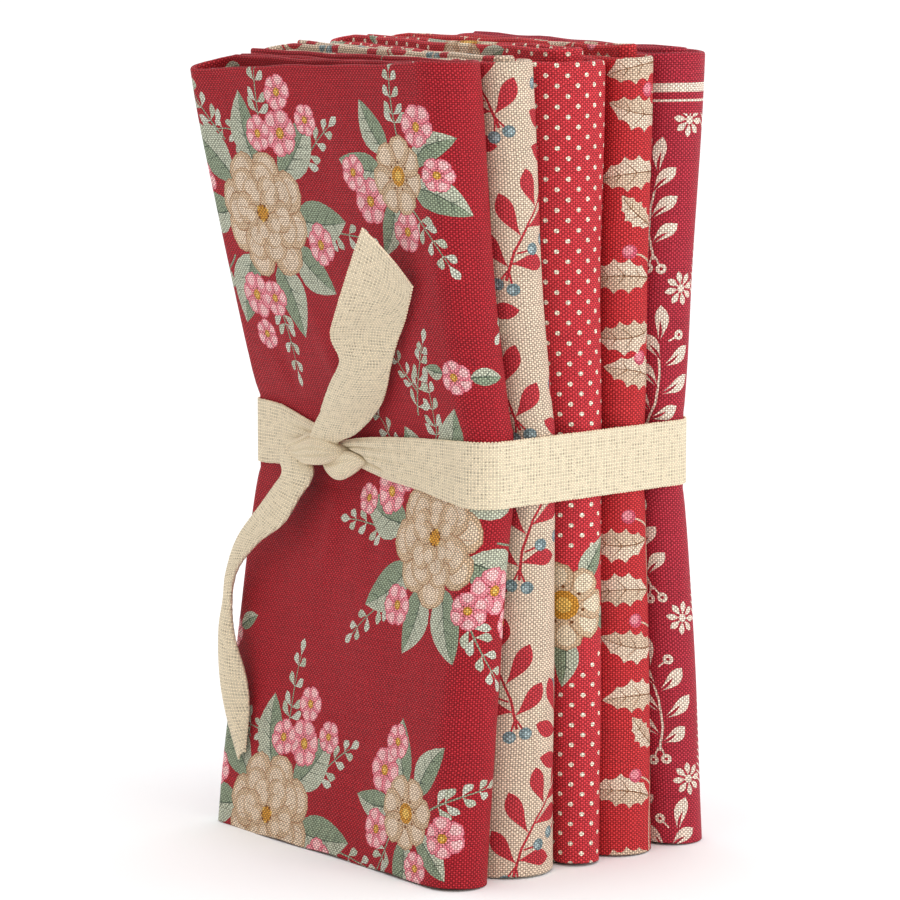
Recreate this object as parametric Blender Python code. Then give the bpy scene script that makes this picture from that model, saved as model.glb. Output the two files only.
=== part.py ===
"""A bundle of five folded fat quarters of quilting cotton, tied round the waist with a cotton tape.

Each quarter is a square cut, folded once so that the fold lies on top, and then folded in four across its width:
both raw ends lie on the loose side (-X) and the broad outer fold is the spine (+X). The five quarters stand on end,
one behind the other along +Y. The origin is the centre of the base. Sizes are in millimetres and become metres when
the meshes are made.
"""
import math
from collections import namedtuple

import bmesh
import bpy
from mathutils import Matrix, Vector

MM = 0.001

# Driving sizes
CLOTH_SIDE = 500.0
HEIGHT = CLOTH_SIDE / 2
WIDTH = CLOTH_SIDE / 4
LEAF = 2.0
LEAF_GAP = 0.5
CLEARANCE = 0.4
TAPE_WIDTH = 20.0
TAPE_THICK = 1.2
TAPE_CLEARANCE = 0.3
WAIST_LOW = 114.0
WAIST_HIGH = 138.0
FLARE_POWER = 0.75
SPINE_DEPTH_LIMIT = 12.0
TAPE_COLOUR = (0.82, 0.72, 0.55)
CORE_SETBACK = 5.0

# The six planes that part the quarters, from the front face to the back face: where each crosses Y on the spine
# side and on the loose side, at the base, at the tied waist and at the top.
Plane = namedtuple("Plane", "spine_base spine_waist spine_top loose_base loose_waist loose_top")
PLANES = (
    Plane(-53.3, -40.7, -58.4, -45.7, -28.4, -53.4),
    Plane(-31.9, -23.0, -35.4, -28.4, -15.4, -28.9),
    Plane(-2.4, -6.1, -16.4, -8.4, -1.9, 0.6),
    Plane(13.1, 14.4, 16.0, 12.6, 11.1, 23.6),
    Plane(38.1, 32.2, 32.7, 33.6, 24.1, 44.6),
    Plane(59.2, 48.2, 56.7, 55.6, 37.6, 64.6),
)

# One row for each quarter. Setbacks are how far the loop, the inner raw end and the outer raw end stop short of the
# loose side. A share is the part of the slack between the leaves that the gap takes. Heights are of the leaves' tops.
Quarter = namedtuple(
    "Quarter",
    "name colour loop_setback inner_setback outer_setback loose_shares spine_shares "
    "front_loose_top spine_top back_loose_top core_loose_top core_spine_top",
)
QUARTERS = (
    Quarter("quarter_rose", (0.37, 0.012, 0.025), 0.0, 4.0, 2.0, (0.62, 0.14, 0.24), (0.30, 0.40, 0.30),
            243.5, 250.5, 248.5, 247.5, 249.5),
    Quarter("quarter_sprig", (0.68, 0.56, 0.41), 1.0, 2.0, 4.5, (0.40, 0.20, 0.40), (0.32, 0.36, 0.32),
            248.5, 250.0, 249.5, 250.5, 251.0),
    Quarter("quarter_dot", (0.54, 0.030, 0.042), 0.5, 5.0, 2.5, (0.36, 0.28, 0.36), (0.26, 0.48, 0.26),
            250.5, 249.0, 251.0, 252.0, 252.5),
    Quarter("quarter_leaf", (0.51, 0.022, 0.028), 2.0, 3.0, 0.5, (0.30, 0.40, 0.30), (0.30, 0.34, 0.36),
            250.5, 249.0, 250.0, 251.5, 253.0),
    Quarter("quarter_vine", (0.39, 0.020, 0.042), 12.0, 9.0, 3.0, (0.34, 0.30, 0.36), (0.28, 0.44, 0.28),
            251.0, 250.0, 250.0, 252.0, 251.0),
)

# Heights of the sections that each leaf is lofted through, below the rounded top edge.
SECTION_HEIGHTS = (0.0, 20.0, 52.0, 84.0, 105.0, WAIST_LOW, WAIST_HIGH, 148.0, 172.0, 206.0, 236.0)
FLAT_STATIONS = (-46.0, -18.0, 12.0, 38.0)
LOOP_STEPS = 5
CORE_STEPS = 4
SPINE_STEPS = 8

# The folded top edge of a leaf: how far below the top, and what share of its thickness is left there.
EDGE_RINGS = ((0.9, 1.0), (0.25, 0.66), (0.0, 0.25))

# The tape's band where it leaves the knot along the front face: gathered and thick there, flat further on.
TAPE_MIDDLE = 126.3
BandStation = namedtuple("BandStation", "x low high thick")
BAND_RIGHT_OF_KNOT = (
    BandStation(-9.0, 122.0, 129.0, 4.0),
    BandStation(1.0, 121.5, 130.5, 3.2),
    BandStation(11.0, 119.8, 133.0, 2.0),
    BandStation(23.0, 118.0, 134.6, TAPE_THICK),
    BandStation(38.0, 116.8, 135.9, TAPE_THICK),
)
BAND_LEFT_OF_KNOT = (
    BandStation(-56.0, 116.6, 136.4, TAPE_THICK),
    BandStation(-46.0, 117.5, 135.8, TAPE_THICK),
    BandStation(-36.0, 119.5, 133.8, 2.0),
    BandStation(-26.0, 121.0, 131.5, 3.2),
    BandStation(-18.0, 122.0, 129.0, 4.0),
)

# The knot: rounded folds of tape that stand off the front face by the height of their middle. Half sizes run along
# the face, away from it and upwards, and lean turns the fold in the plane of the face, in degrees.
KnotFold = namedtuple("KnotFold", "name x stand_off z half_x half_out half_z lean")
KNOT = (
    KnotFold("knot_wrap", -16.0, 5.4, 126.2, 9.5, 5.0, 6.0, -8.0),
    KnotFold("knot_lobe", -6.5, 4.0, 121.6, 8.5, 3.6, 5.4, 20.0),
    KnotFold("knot_turn", -26.0, 5.0, 122.6, 6.0, 4.4, 6.2, 0.0),
)

# The free ends, from the knot to the cut: where the left and the right edge lie along the front face, how far each
# stands off it, and how far the middle of the tape bulges off the line between them.
TailRow = namedtuple("TailRow", "left_x left_off left_z right_x right_off right_z bulge thick")
UPPER_TAIL = (
    TailRow(-21.0, 6.0, 127.0, -8.0, 5.0, 127.0, 1.0, 2.4),
    TailRow(-18.5, 6.5, 134.0, 2.0, 4.6, 133.5, 1.5, 1.6),
    TailRow(-11.5, 7.2, 140.0, 11.5, 3.6, 140.0, 2.2, TAPE_THICK),
    TailRow(-2.0, 8.0, 149.0, 19.5, 2.6, 148.0, 2.6, TAPE_THICK),
    TailRow(6.3, 8.4, 157.0, 25.5, 2.6, 157.0, 1.6, TAPE_THICK),
    TailRow(6.5, 10.5, 164.5, 31.0, 2.6, 165.0, -0.5, TAPE_THICK),
    TailRow(13.5, 12.0, 173.0, 37.0, 2.6, 172.5, -1.2, TAPE_THICK),
    TailRow(36.3, 14.0, 200.6, 43.6, 3.0, 182.9, -1.0, TAPE_THICK),
)
LOWER_TAIL = (
    TailRow(-31.0, 5.6, 123.5, -20.0, 6.4, 121.0, 1.0, 2.6),
    TailRow(-36.5, 8.0, 115.0, -23.0, 9.0, 111.0, 1.4, 2.4),
    TailRow(-43.3, 8.6, 105.8, -30.0, 8.8, 101.0, 1.2, 2.4),
    TailRow(-56.0, 7.6, 93.0, -44.0, 8.0, 93.0, 0.8, 2.4),
    TailRow(-61.6, 6.6, 81.0, -55.0, 7.4, 83.0, 0.6, 2.4),
    TailRow(-62.4, 6.0, 72.0, -57.0, 7.0, 73.0, 0.6, 1.8),
    TailRow(-63.0, 6.0, 62.0, -53.5, 6.6, 61.5, 1.4, TAPE_THICK),
    TailRow(-61.0, 5.4, 48.7, -47.0, 4.8, 49.0, 2.0, TAPE_THICK),
    TailRow(-56.8, 4.6, 37.0, -44.8, 4.0, 39.0, 1.8, TAPE_THICK),
    TailRow(-48.5, 3.6, 22.6, -45.4, 3.4, 25.5, 0.6, TAPE_THICK),
)

Station = namedtuple("Station", "x y top")


def lerp(a, b, t):
    return a + (b - a) * t


def flare(base, waist, top, z):
    """Position of a plane at height z: held at the waist by the tape, and swelling above and below it."""
    if z > WAIST_HIGH:
        return lerp(waist, top, ((z - WAIST_HIGH) / (HEIGHT - WAIST_HIGH)) ** FLARE_POWER)
    if z < WAIST_LOW:
        return lerp(waist, base, ((WAIST_LOW - z) / WAIST_LOW) ** FLARE_POWER)
    return waist


def plane_y(plane, x, z):
    """Y of a parting plane at (x, z)."""
    loose = flare(plane.loose_base, plane.loose_waist, plane.loose_top, z)
    spine = flare(plane.spine_base, plane.spine_waist, plane.spine_top, z)
    return lerp(loose, spine, (x + WIDTH / 2) / WIDTH)


def leaf_y(index, leaf, x, z):
    """Y of the middle of one leaf (0 at the front to 3 at the back) of a quarter at (x, z)."""
    quarter = QUARTERS[index]
    first = plane_y(PLANES[index], x, z) + (CLEARANCE + LEAF) / 2
    last = plane_y(PLANES[index + 1], x, z) - (CLEARANCE + LEAF) / 2
    pitch = LEAF + LEAF_GAP
    slack = last - first - 3 * pitch
    across = (x + WIDTH / 2) / WIDTH
    shares = [lerp(a, b, across) for a, b in zip(quarter.loose_shares, quarter.spine_shares)]
    return first + leaf * pitch + slack * sum(shares[:leaf])


def arc(centre, depth, rise, steps, side):
    """Points of a half ellipse that starts at -rise in Y, bulges by depth towards side in X, and ends at +rise."""
    points = []
    for step in range(1, steps):
        angle = math.pi * (step / steps - 0.5)
        points.append((centre[0] + side * depth * math.cos(angle), centre[1] + rise * math.sin(angle)))
    return points


def fold_section(index, z):
    """The middle line of one folded quarter at height z, from the inner raw end to the outer raw end.

    It runs along the third leaf to the spine, round the core fold, back along the second leaf, round the loop on the
    loose side, along the front leaf, round the broad spine fold and back along the fourth leaf.
    """
    quarter = QUARTERS[index]
    half = WIDTH / 2

    def y(leaf, x):
        return leaf_y(index, leaf, x, z)

    def bend(front, back, apex, side, limit):
        """Centre and half axes of the fold that joins two leaves, with its outermost point at apex."""
        rise = (y(back, apex) - y(front, apex)) / 2
        depth = min(rise, limit)
        centre_x = apex - side * depth
        rise = (y(back, centre_x) - y(front, centre_x)) / 2
        return (centre_x, (y(back, centre_x) + y(front, centre_x)) / 2), depth, rise

    spine = bend(0, 3, half - LEAF / 2, 1, SPINE_DEPTH_LIMIT)
    core = bend(1, 2, half - LEAF / 2 - CORE_SETBACK, 1, SPINE_DEPTH_LIMIT)
    loop = bend(0, 1, -half + LEAF / 2 + quarter.loop_setback, -1, SPINE_DEPTH_LIMIT)

    def top_between(loose, spine_side, x):
        return lerp(loose, spine_side, (x + half) / WIDTH)

    def run(leaf, xs, loose, spine_side):
        return [Station(x, y(leaf, x), top_between(loose, spine_side, x)) for x in xs]

    def turn(points, start, end):
        count = len(points) + 1
        return [Station(px, py, lerp(start, end, (i + 1) / count)) for i, (px, py) in enumerate(points)]

    inner_end = -half + quarter.inner_setback
    outer_end = -half + quarter.outer_setback
    core_top = quarter.core_spine_top
    spine_x = spine[0][0]
    loop_x = loop[0][0]
    loop_top = lerp(quarter.core_loose_top, quarter.front_loose_top, 0.5)
    beyond_loop = [x for x in FLAT_STATIONS if x > loop_x + LEAF]

    stations = run(2, [inner_end, *FLAT_STATIONS, core[0][0]], quarter.core_loose_top, core_top)
    stations += turn(arc(core[0], core[1], -core[2], CORE_STEPS, 1), core_top, core_top)
    stations += run(1, [core[0][0], *beyond_loop[::-1], loop_x], quarter.core_loose_top, core_top)
    stations += turn(arc(loop[0], loop[1], -loop[2], LOOP_STEPS, -1), loop_top, loop_top)
    stations += run(0, [loop_x, *beyond_loop, spine_x], quarter.front_loose_top, quarter.spine_top)
    stations += turn(arc(spine[0], spine[1], spine[2], SPINE_STEPS, 1), quarter.spine_top, quarter.spine_top)
    stations += run(3, [spine_x, *FLAT_STATIONS[::-1], outer_end], quarter.back_loose_top, quarter.spine_top)
    return stations


def offset_sides(stations, half_thickness):
    """The two sides of a middle line, each point moved half the thickness along the line's normal."""
    sides = ([], [])
    last = len(stations) - 1
    for i, here in enumerate(stations):
        before, after = stations[max(i - 1, 0)], stations[min(i + 1, last)]
        dx, dy = after.x - before.x, after.y - before.y
        length = math.hypot(dx, dy)
        for side, sign in zip(sides, (1, -1)):
            side.append((here.x - sign * dy / length * half_thickness, here.y + sign * dx / length * half_thickness))
    return sides


def new_object(name, bm, colour, roughness):
    """Make an object with its own material from a bmesh in millimetres."""
    bmesh.ops.recalc_face_normals(bm, faces=bm.faces)
    for vert in bm.verts:
        vert.co *= MM
    mesh = bpy.data.meshes.new(name)
    bm.to_mesh(mesh)
    bm.free()
    mesh.shade_smooth()
    mesh.set_sharp_from_angle(angle=math.radians(50))
    material = bpy.data.materials.new(name)
    material.use_nodes = True
    shader = material.node_tree.nodes["Principled BSDF"]
    shader.inputs["Base Color"].default_value = (*colour, 1)
    shader.inputs["Roughness"].default_value = roughness
    shader.inputs["Metallic"].default_value = 0
    mesh.materials.append(material)
    obj = bpy.data.objects.new(name, mesh)
    bpy.context.scene.collection.objects.link(obj)
    return obj


def add_quad(bm, a, b, c, d):
    """Two triangles, parted along the diagonal that climbs towards +X, so that facing walls are parted alike."""
    if a.co.x <= b.co.x:
        bm.faces.new((a, b, c))
        bm.faces.new((a, c, d))
    else:
        bm.faces.new((a, b, d))
        bm.faces.new((b, c, d))


def loft(bm, rings):
    """Join closed rings of points, bottom to top, and close both ends with strips across the leaf."""
    rows = [[bm.verts.new(point) for point in ring] for ring in rings]
    count = len(rows[0])
    for low, high in zip(rows, rows[1:]):
        for i in range(count):
            j = (i + 1) % count
            add_quad(bm, low[i], low[j], high[j], high[i])
    half = count // 2
    for row in (rows[0], rows[-1]):
        for i in range(half - 1):
            add_quad(bm, row[i], row[i + 1], row[count - 2 - i], row[count - 1 - i])


def make_quarter(index):
    """One folded quarter: a single leaf of doubled cloth, folded in four."""
    quarter = QUARTERS[index]
    rings = []

    def ring(z_of, thickness, section_z):
        stations = fold_section(index, section_z)
        left, right = offset_sides(stations, thickness / 2)
        heights = [z_of(station) for station in stations]
        rings.append([(x, y, z) for (x, y), z in zip(left, heights)]
                     + [(x, y, z) for (x, y), z in zip(right[::-1], heights[::-1])])

    for z in SECTION_HEIGHTS:
        ring(lambda station, z=z: z, LEAF, z)
    for drop, share in EDGE_RINGS:
        ring(lambda station, drop=drop: station.top - drop, LEAF * share, HEIGHT)
    bm = bmesh.new()
    loft(bm, rings)
    return new_object(quarter.name, bm, quarter.colour, 0.85)


def convex_hull(points):
    """The convex outline of plan points, anticlockwise seen from above (Andrew's monotone chain)."""

    def chain(ordered):
        kept = []
        for point in ordered:
            while len(kept) > 1:
                (ax, ay), (bx, by) = kept[-2], kept[-1]
                if (bx - ax) * (point[1] - ay) - (by - ay) * (point[0] - ax) > 1e-6:
                    break
                kept.pop()
            kept.append(point)
        return kept[:-1]

    ordered = sorted(set(points))
    return chain(ordered) + chain(ordered[::-1])


def waist_outline():
    """Where a taut tape lies round the waist: it runs straight over the valleys between the spines."""
    points = []
    for index in range(len(QUARTERS)):
        for side in offset_sides(fold_section(index, WAIST_LOW), LEAF / 2):
            points.extend(side)
    return convex_hull(points)


def front_y(x, z):
    """Y of the outer side of the front leaf."""
    return plane_y(PLANES[0], x, z) + CLEARANCE / 2


def band_rings():
    """Cross-sections of the band, from the knot round the stack and back to the knot."""
    front_left, front_right = BAND_LEFT_OF_KNOT[0].x, BAND_RIGHT_OF_KNOT[-1].x
    outline = [(x, y) for x, y in waist_outline() if y > 0 or not front_left < x < front_right]
    first = min(i for i, (x, y) in enumerate(outline) if x > front_right)
    around = outline[first:] + outline[:first]
    stations = [(row.x, front_y(row.x, TAPE_MIDDLE), row) for row in BAND_RIGHT_OF_KNOT]
    low, high = TAPE_MIDDLE - TAPE_WIDTH / 2, TAPE_MIDDLE + TAPE_WIDTH / 2
    stations += [(x, y, BandStation(x, low, high, TAPE_THICK)) for x, y in around]
    stations += [(row.x, front_y(row.x, TAPE_MIDDLE), row) for row in BAND_LEFT_OF_KNOT]
    rings = []
    last = len(stations) - 1
    for i, (x, y, row) in enumerate(stations):
        normals = []
        for a, b in ((max(i - 1, 0), max(i, 1)), (min(i, last - 1), min(i + 1, last))):
            dx, dy = stations[b][0] - stations[a][0], stations[b][1] - stations[a][1]
            length = math.hypot(dx, dy)
            normals.append((dy / length, -dx / length))
        nx, ny = normals[0][0] + normals[1][0], normals[0][1] + normals[1][1]
        mitre = 2 / (nx * nx + ny * ny)
        inner, outer = TAPE_CLEARANCE * mitre, (TAPE_CLEARANCE + row.thick) * mitre
        rings.append([(x + nx * inner, y + ny * inner, row.low), (x + nx * outer, y + ny * outer, row.low),
                      (x + nx * outer, y + ny * outer, row.high), (x + nx * inner, y + ny * inner, row.high)])
    return rings


def tail_rings(rows):
    """Cross-sections of a free end: its two edges and its middle, on both sides of the tape."""
    lines = []
    for row in rows:
        left = Vector((row.left_x, front_y(row.left_x, row.left_z) - row.left_off, row.left_z))
        right = Vector((row.right_x, front_y(row.right_x, row.right_z) - row.right_off, row.right_z))
        lines.append((left, right, row))
    rings = []
    last = len(lines) - 1
    for i, (left, right, row) in enumerate(lines):
        before, after = lines[max(i - 1, 0)], lines[min(i + 1, last)]
        along = (after[0] + after[1]) - (before[0] + before[1])
        out = along.cross(right - left).normalized()
        if out.y > 0:
            out.negate()
        middle = (left + right) / 2 + out * row.bulge
        half = out * (row.thick / 2)
        rings.append([left - half, middle - half, right - half, right + half, middle + half, left + half])
    return rings


def ring_solid(name, rings, colour):
    """A closed solid through small rings, capped flat at both ends."""
    bm = bmesh.new()
    rows = [[bm.verts.new(point) for point in ring] for ring in rings]
    count = len(rows[0])
    for near, far in zip(rows, rows[1:]):
        for i in range(count):
            bm.faces.new((near[i], near[(i + 1) % count], far[(i + 1) % count], far[i]))
    bm.faces.new(rows[0])
    bm.faces.new(rows[-1])
    bmesh.ops.triangulate(bm, faces=bm.faces)
    return new_object(name, bm, colour, 0.9)


def make_knot_fold(fold):
    """One rounded fold of the knot, seated on the front face."""
    run = front_y(fold.x + 1, fold.z) - front_y(fold.x, fold.z)
    place = Matrix.Translation((fold.x, front_y(fold.x, fold.z) - fold.stand_off, fold.z))
    place @= Matrix.Rotation(math.atan(run), 4, "Z") @ Matrix.Rotation(math.radians(fold.lean), 4, "Y")
    place @= Matrix.Diagonal((fold.half_x, fold.half_out, fold.half_z, 1))
    bm = bmesh.new()
    bmesh.ops.create_uvsphere(bm, u_segments=14, v_segments=9, radius=1, matrix=place)
    return new_object(fold.name, bm, TAPE_COLOUR, 0.9)


def make_tie():
    """The tie: one length of tape as a single solid of its band, its knot and its two free ends."""
    tie = ring_solid("tie_tape", band_rings(), TAPE_COLOUR)
    pieces = [make_knot_fold(fold) for fold in KNOT]
    pieces.append(ring_solid("tail_upper", tail_rings(UPPER_TAIL), TAPE_COLOUR))
    pieces.append(ring_solid("tail_lower", tail_rings(LOWER_TAIL), TAPE_COLOUR))
    for piece in pieces:
        piece.hide_render = True
        piece.display_type = "WIRE"
        join = tie.modifiers.new(piece.name, "BOOLEAN")
        join.operation = "UNION"
        join.solver = "EXACT"
        join.object = piece
    return tie


def clear_scene():
    for obj in list(bpy.data.objects):
        bpy.data.objects.remove(obj, do_unlink=True)


def main():
    clear_scene()
    for index in range(len(QUARTERS)):
        make_quarter(index)
    make_tie()


main()
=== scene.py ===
"""A bundle of five folded fat quarters of quilting cotton, tied round the waist with a cotton tape.

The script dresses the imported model. Each quarter is one printed sheet that is cut flat, folded once over
the top and then folded in four. The tape and its two free ends are thin woven strips, and its knot is three
gathered folds. Sizes in the tables are in millimetres; meshes are in metres.
"""

import math
import random
from collections import namedtuple

import bmesh
import bpy
import numpy as np
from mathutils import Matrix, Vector
from mathutils.geometry import delaunay_2d_cdt


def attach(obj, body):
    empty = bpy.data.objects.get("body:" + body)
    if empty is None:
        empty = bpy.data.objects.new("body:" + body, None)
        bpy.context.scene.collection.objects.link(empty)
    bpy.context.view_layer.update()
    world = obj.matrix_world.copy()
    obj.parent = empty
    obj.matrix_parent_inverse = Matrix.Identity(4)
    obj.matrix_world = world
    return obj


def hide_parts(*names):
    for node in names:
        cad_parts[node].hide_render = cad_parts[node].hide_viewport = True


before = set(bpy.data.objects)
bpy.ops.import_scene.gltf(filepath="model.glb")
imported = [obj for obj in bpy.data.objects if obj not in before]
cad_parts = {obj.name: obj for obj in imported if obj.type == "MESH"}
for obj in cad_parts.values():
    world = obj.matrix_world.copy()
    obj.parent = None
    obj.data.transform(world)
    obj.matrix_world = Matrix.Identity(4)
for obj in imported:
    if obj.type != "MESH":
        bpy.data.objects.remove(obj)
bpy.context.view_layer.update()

bl_info = {
    "name": "Fat Quarter Bundle",
    "version": (1, 0, 0),
    "blender": (4, 5, 0),
    "location": "View3D > Sidebar > Bundle",
    "description": "Five folded printed cottons tied with a cotton tape",
    "category": "Object",
}

MM = 0.001

# --------------------------------------------------------------------------------------------------
# The folded form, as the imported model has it
# --------------------------------------------------------------------------------------------------
CLOTH_SIDE = 500.0
HEIGHT = CLOTH_SIDE / 2
WIDTH = CLOTH_SIDE / 4
LEAF = 2.0
LEAF_GAP = 0.5
CLEARANCE = 0.4
TAPE_WIDTH = 20.0
TAPE_CLEARANCE = 0.3
WAIST_LOW = 114.0
WAIST_HIGH = 138.0
FLARE_POWER = 0.75
SPINE_DEPTH_LIMIT = 12.0
CORE_SETBACK = 5.0
TAPE_MIDDLE = 126.3

# The six planes that part the quarters: where each crosses Y on the spine side and on the loose side, at
# the base, at the tied waist and at the top.
Plane = namedtuple("Plane", "spine_base spine_waist spine_top loose_base loose_waist loose_top")
PLANES = (
    Plane(-53.3, -40.7, -58.4, -45.7, -28.4, -53.4),
    Plane(-31.9, -23.0, -35.4, -28.4, -15.4, -28.9),
    Plane(-2.4, -6.1, -16.4, -8.4, -1.9, 0.6),
    Plane(13.1, 14.4, 16.0, 12.6, 11.1, 23.6),
    Plane(38.1, 32.2, 32.7, 33.6, 24.1, 44.6),
    Plane(59.2, 48.2, 56.7, 55.6, 37.6, 64.6),
)

# Setbacks are how far the loop, the inner raw end and the outer raw end stop short of the loose side.
# Shares part the slack between the leaves. Heights are of the leaves' folded tops.
Quarter = namedtuple(
    "Quarter",
    "name slot loop_setback inner_setback outer_setback loose_shares spine_shares "
    "front_loose_top spine_top back_loose_top core_loose_top core_spine_top",
)
QUARTERS = (
    Quarter("quarter_rose", "rose_cotton", 0.0, 4.0, 2.0, (0.62, 0.14, 0.24), (0.30, 0.40, 0.30),
            243.5, 250.5, 248.5, 247.5, 249.5),
    Quarter("quarter_sprig", "sprig_cotton", 1.0, 2.0, 4.5, (0.40, 0.20, 0.40), (0.32, 0.36, 0.32),
            248.5, 250.0, 249.5, 250.5, 251.0),
    Quarter("quarter_dot", "dot_cotton", 0.5, 5.0, 2.5, (0.36, 0.28, 0.36), (0.26, 0.48, 0.26),
            250.5, 249.0, 251.0, 252.0, 252.5),
    Quarter("quarter_leaf", "leaf_cotton", 2.0, 3.0, 0.5, (0.30, 0.40, 0.30), (0.30, 0.34, 0.36),
            250.5, 249.0, 250.0, 251.5, 253.0),
    Quarter("quarter_vine", "vine_cotton", 12.0, 9.0, 3.0, (0.34, 0.30, 0.36), (0.28, 0.44, 0.28),
            251.0, 250.0, 250.0, 252.0, 251.0),
)

# The tape's band where it leaves the knot along the front face: gathered there, flat further on. Gather is
# how deep its pleats are. Above the ridge it stands over its lower part by the step.
BandStation = namedtuple("BandStation", "x low high gather ridge step")
BAND_RIGHT_OF_KNOT = (
    BandStation(-9.0, 122.4, 128.8, 1.0, 127.9, 1.7),
    BandStation(-1.0, 121.9, 130.6, 0.8, 126.6, 1.7),
    BandStation(7.0, 120.7, 131.9, 0.6, 124.4, 1.5),
    BandStation(16.0, 119.6, 133.0, 0.5, 121.6, 0.9),
    BandStation(30.0, 119.0, 134.3, 0.3, 119.6, 0.3),
    BandStation(45.0, 117.4, 135.5, 0.15, 117.4, 0.0),
    BandStation(55.0, 116.4, 136.2, 0.0, 116.4, 0.0),
)
BAND_LEFT_OF_KNOT = (
    BandStation(-56.0, 116.4, 136.4, 0.1, 116.4, 0.0),
    BandStation(-46.0, 117.3, 136.0, 0.35, 117.3, 0.0),
    BandStation(-36.0, 119.3, 134.0, 0.7, 119.3, 0.0),
    BandStation(-26.0, 120.6, 132.0, 1.0, 120.6, 0.0),
    BandStation(-18.0, 121.5, 129.5, 1.3, 121.5, 0.0),
)

# The free ends, from the knot to the cut: where the left and the right edge lie along the front face, how
# far each stands off it, how far the middle bulges, and how much of the tape's width is turned under.
TailRow = namedtuple("TailRow", "left_x left_off left_z right_x right_off right_z bulge turned")
UPPER_TAIL = (
    TailRow(-21.5, 4.6, 124.0, -9.0, 4.4, 125.0, 0.8, 7.0),
    TailRow(-20.6, 6.8, 128.9, -7.6, 5.4, 129.0, 1.6, 4.5),
    TailRow(-18.2, 7.2, 133.0, 1.4, 4.8, 132.8, 2.0, 1.5),
    TailRow(-14.2, 7.4, 137.4, 9.0, 4.2, 138.0, 2.3, 0.0),
    TailRow(-8.4, 7.7, 142.9, 16.4, 3.0, 143.8, 2.5, 0.0),
    TailRow(-2.0, 8.0, 149.0, 20.8, 2.6, 149.4, 2.6, 0.0),
    TailRow(6.3, 8.4, 157.0, 25.5, 2.6, 157.0, 1.6, 0.0),
    TailRow(6.5, 10.5, 164.5, 31.0, 2.6, 165.0, -0.5, 0.0),
    TailRow(13.5, 12.0, 173.0, 37.0, 2.6, 172.5, -1.2, 0.0),
    TailRow(36.3, 14.0, 200.6, 43.6, 3.0, 182.9, -1.0, 0.0),
)
LOWER_TAIL = (
    TailRow(-37.4, 3.6, 125.0, -31.5, 4.0, 125.4, 0.4, 6.0),
    TailRow(-40.2, 5.2, 122.4, -27.5, 5.4, 122.6, 1.0, 5.0),
    TailRow(-39.2, 6.2, 119.4, -21.5, 6.0, 119.6, 1.3, 3.0),
    TailRow(-37.0, 7.0, 116.2, -20.6, 6.8, 116.4, 1.5, 3.0),
    TailRow(-39.0, 7.8, 112.0, -23.8, 8.0, 110.6, 1.4, 4.5),
    TailRow(-43.3, 8.6, 105.8, -30.0, 8.8, 101.0, 1.2, 6.5),
    TailRow(-56.0, 7.6, 93.0, -44.0, 8.0, 93.0, 0.8, 7.5),
    TailRow(-61.6, 6.6, 81.0, -55.0, 7.4, 83.0, 0.6, 8.5),
    TailRow(-62.4, 6.0, 72.0, -57.0, 7.0, 73.0, 0.6, 8.5),
    TailRow(-63.0, 6.0, 62.0, -53.5, 6.6, 61.5, 1.4, 6.5),
    TailRow(-61.0, 5.4, 48.7, -47.0, 4.8, 49.0, 2.0, 3.0),
    TailRow(-56.8, 4.6, 37.0, -44.8, 4.0, 39.0, 1.8, 0.5),
    TailRow(-48.5, 3.6, 22.6, -45.4, 3.4, 25.5, 0.6, 0.0),
)

# Folds of the knot as gathered lengths of tape, from end to end: where the upper and the lower edge lie
# along the front face, how far the edges stand off it, and how far the fold swells out between them.
FoldRow = namedtuple("FoldRow", "upper_x upper_z lower_x lower_z off swell")
KnotFold = namedtuple("KnotFold", "name pleats rows")
KNOT = (
    KnotFold("wrap", 4, (
        FoldRow(-35.8, 123.3, -35.4, 122.4, 4.8, 0.5), FoldRow(-32.0, 125.0, -32.2, 121.9, 5.8, 1.5),
        FoldRow(-27.3, 126.4, -28.2, 121.4, 6.9, 2.1), FoldRow(-22.8, 128.0, -23.5, 120.7, 7.5, 2.6),
        FoldRow(-17.5, 129.5, -17.6, 120.9, 7.9, 2.9), FoldRow(-12.5, 129.6, -12.4, 121.7, 7.7, 2.8),
        FoldRow(-8.8, 128.9, -8.6, 123.0, 7.0, 2.3), FoldRow(-6.2, 127.6, -5.8, 125.1, 5.6, 1.3),
        FoldRow(-5.4, 126.9, -5.2, 126.2, 4.8, 0.5))),
    KnotFold("lobe", 3, (
        FoldRow(-17.0, 122.0, -16.0, 120.4, 4.6, 0.6), FoldRow(-13.8, 123.5, -13.4, 118.7, 5.0, 1.2),
        FoldRow(-10.8, 125.0, -10.0, 117.2, 5.0, 1.6), FoldRow(-7.6, 126.0, -6.6, 117.2, 4.7, 1.7),
        FoldRow(-4.5, 126.6, -3.6, 118.4, 4.2, 1.5), FoldRow(-1.5, 126.4, -0.8, 120.0, 3.6, 1.2),
        FoldRow(1.5, 125.4, 1.4, 121.9, 3.0, 0.8), FoldRow(3.2, 124.2, 3.0, 123.2, 2.4, 0.3))),
    KnotFold("turn", 3, (
        FoldRow(-22.0, 130.4, -21.0, 128.0, 4.4, 0.4), FoldRow(-25.6, 129.6, -24.0, 125.5, 5.0, 1.0),
        FoldRow(-30.4, 127.8, -28.6, 123.4, 4.9, 1.3), FoldRow(-35.6, 126.2, -33.4, 122.0, 4.4, 1.3),
        FoldRow(-38.8, 124.4, -37.4, 121.2, 4.0, 1.0), FoldRow(-39.8, 122.8, -39.4, 121.6, 3.4, 0.4))),
)


def lerp(a, b, t):
    """The value a share t of the way from a to b."""
    return a + (b - a) * t


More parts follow.
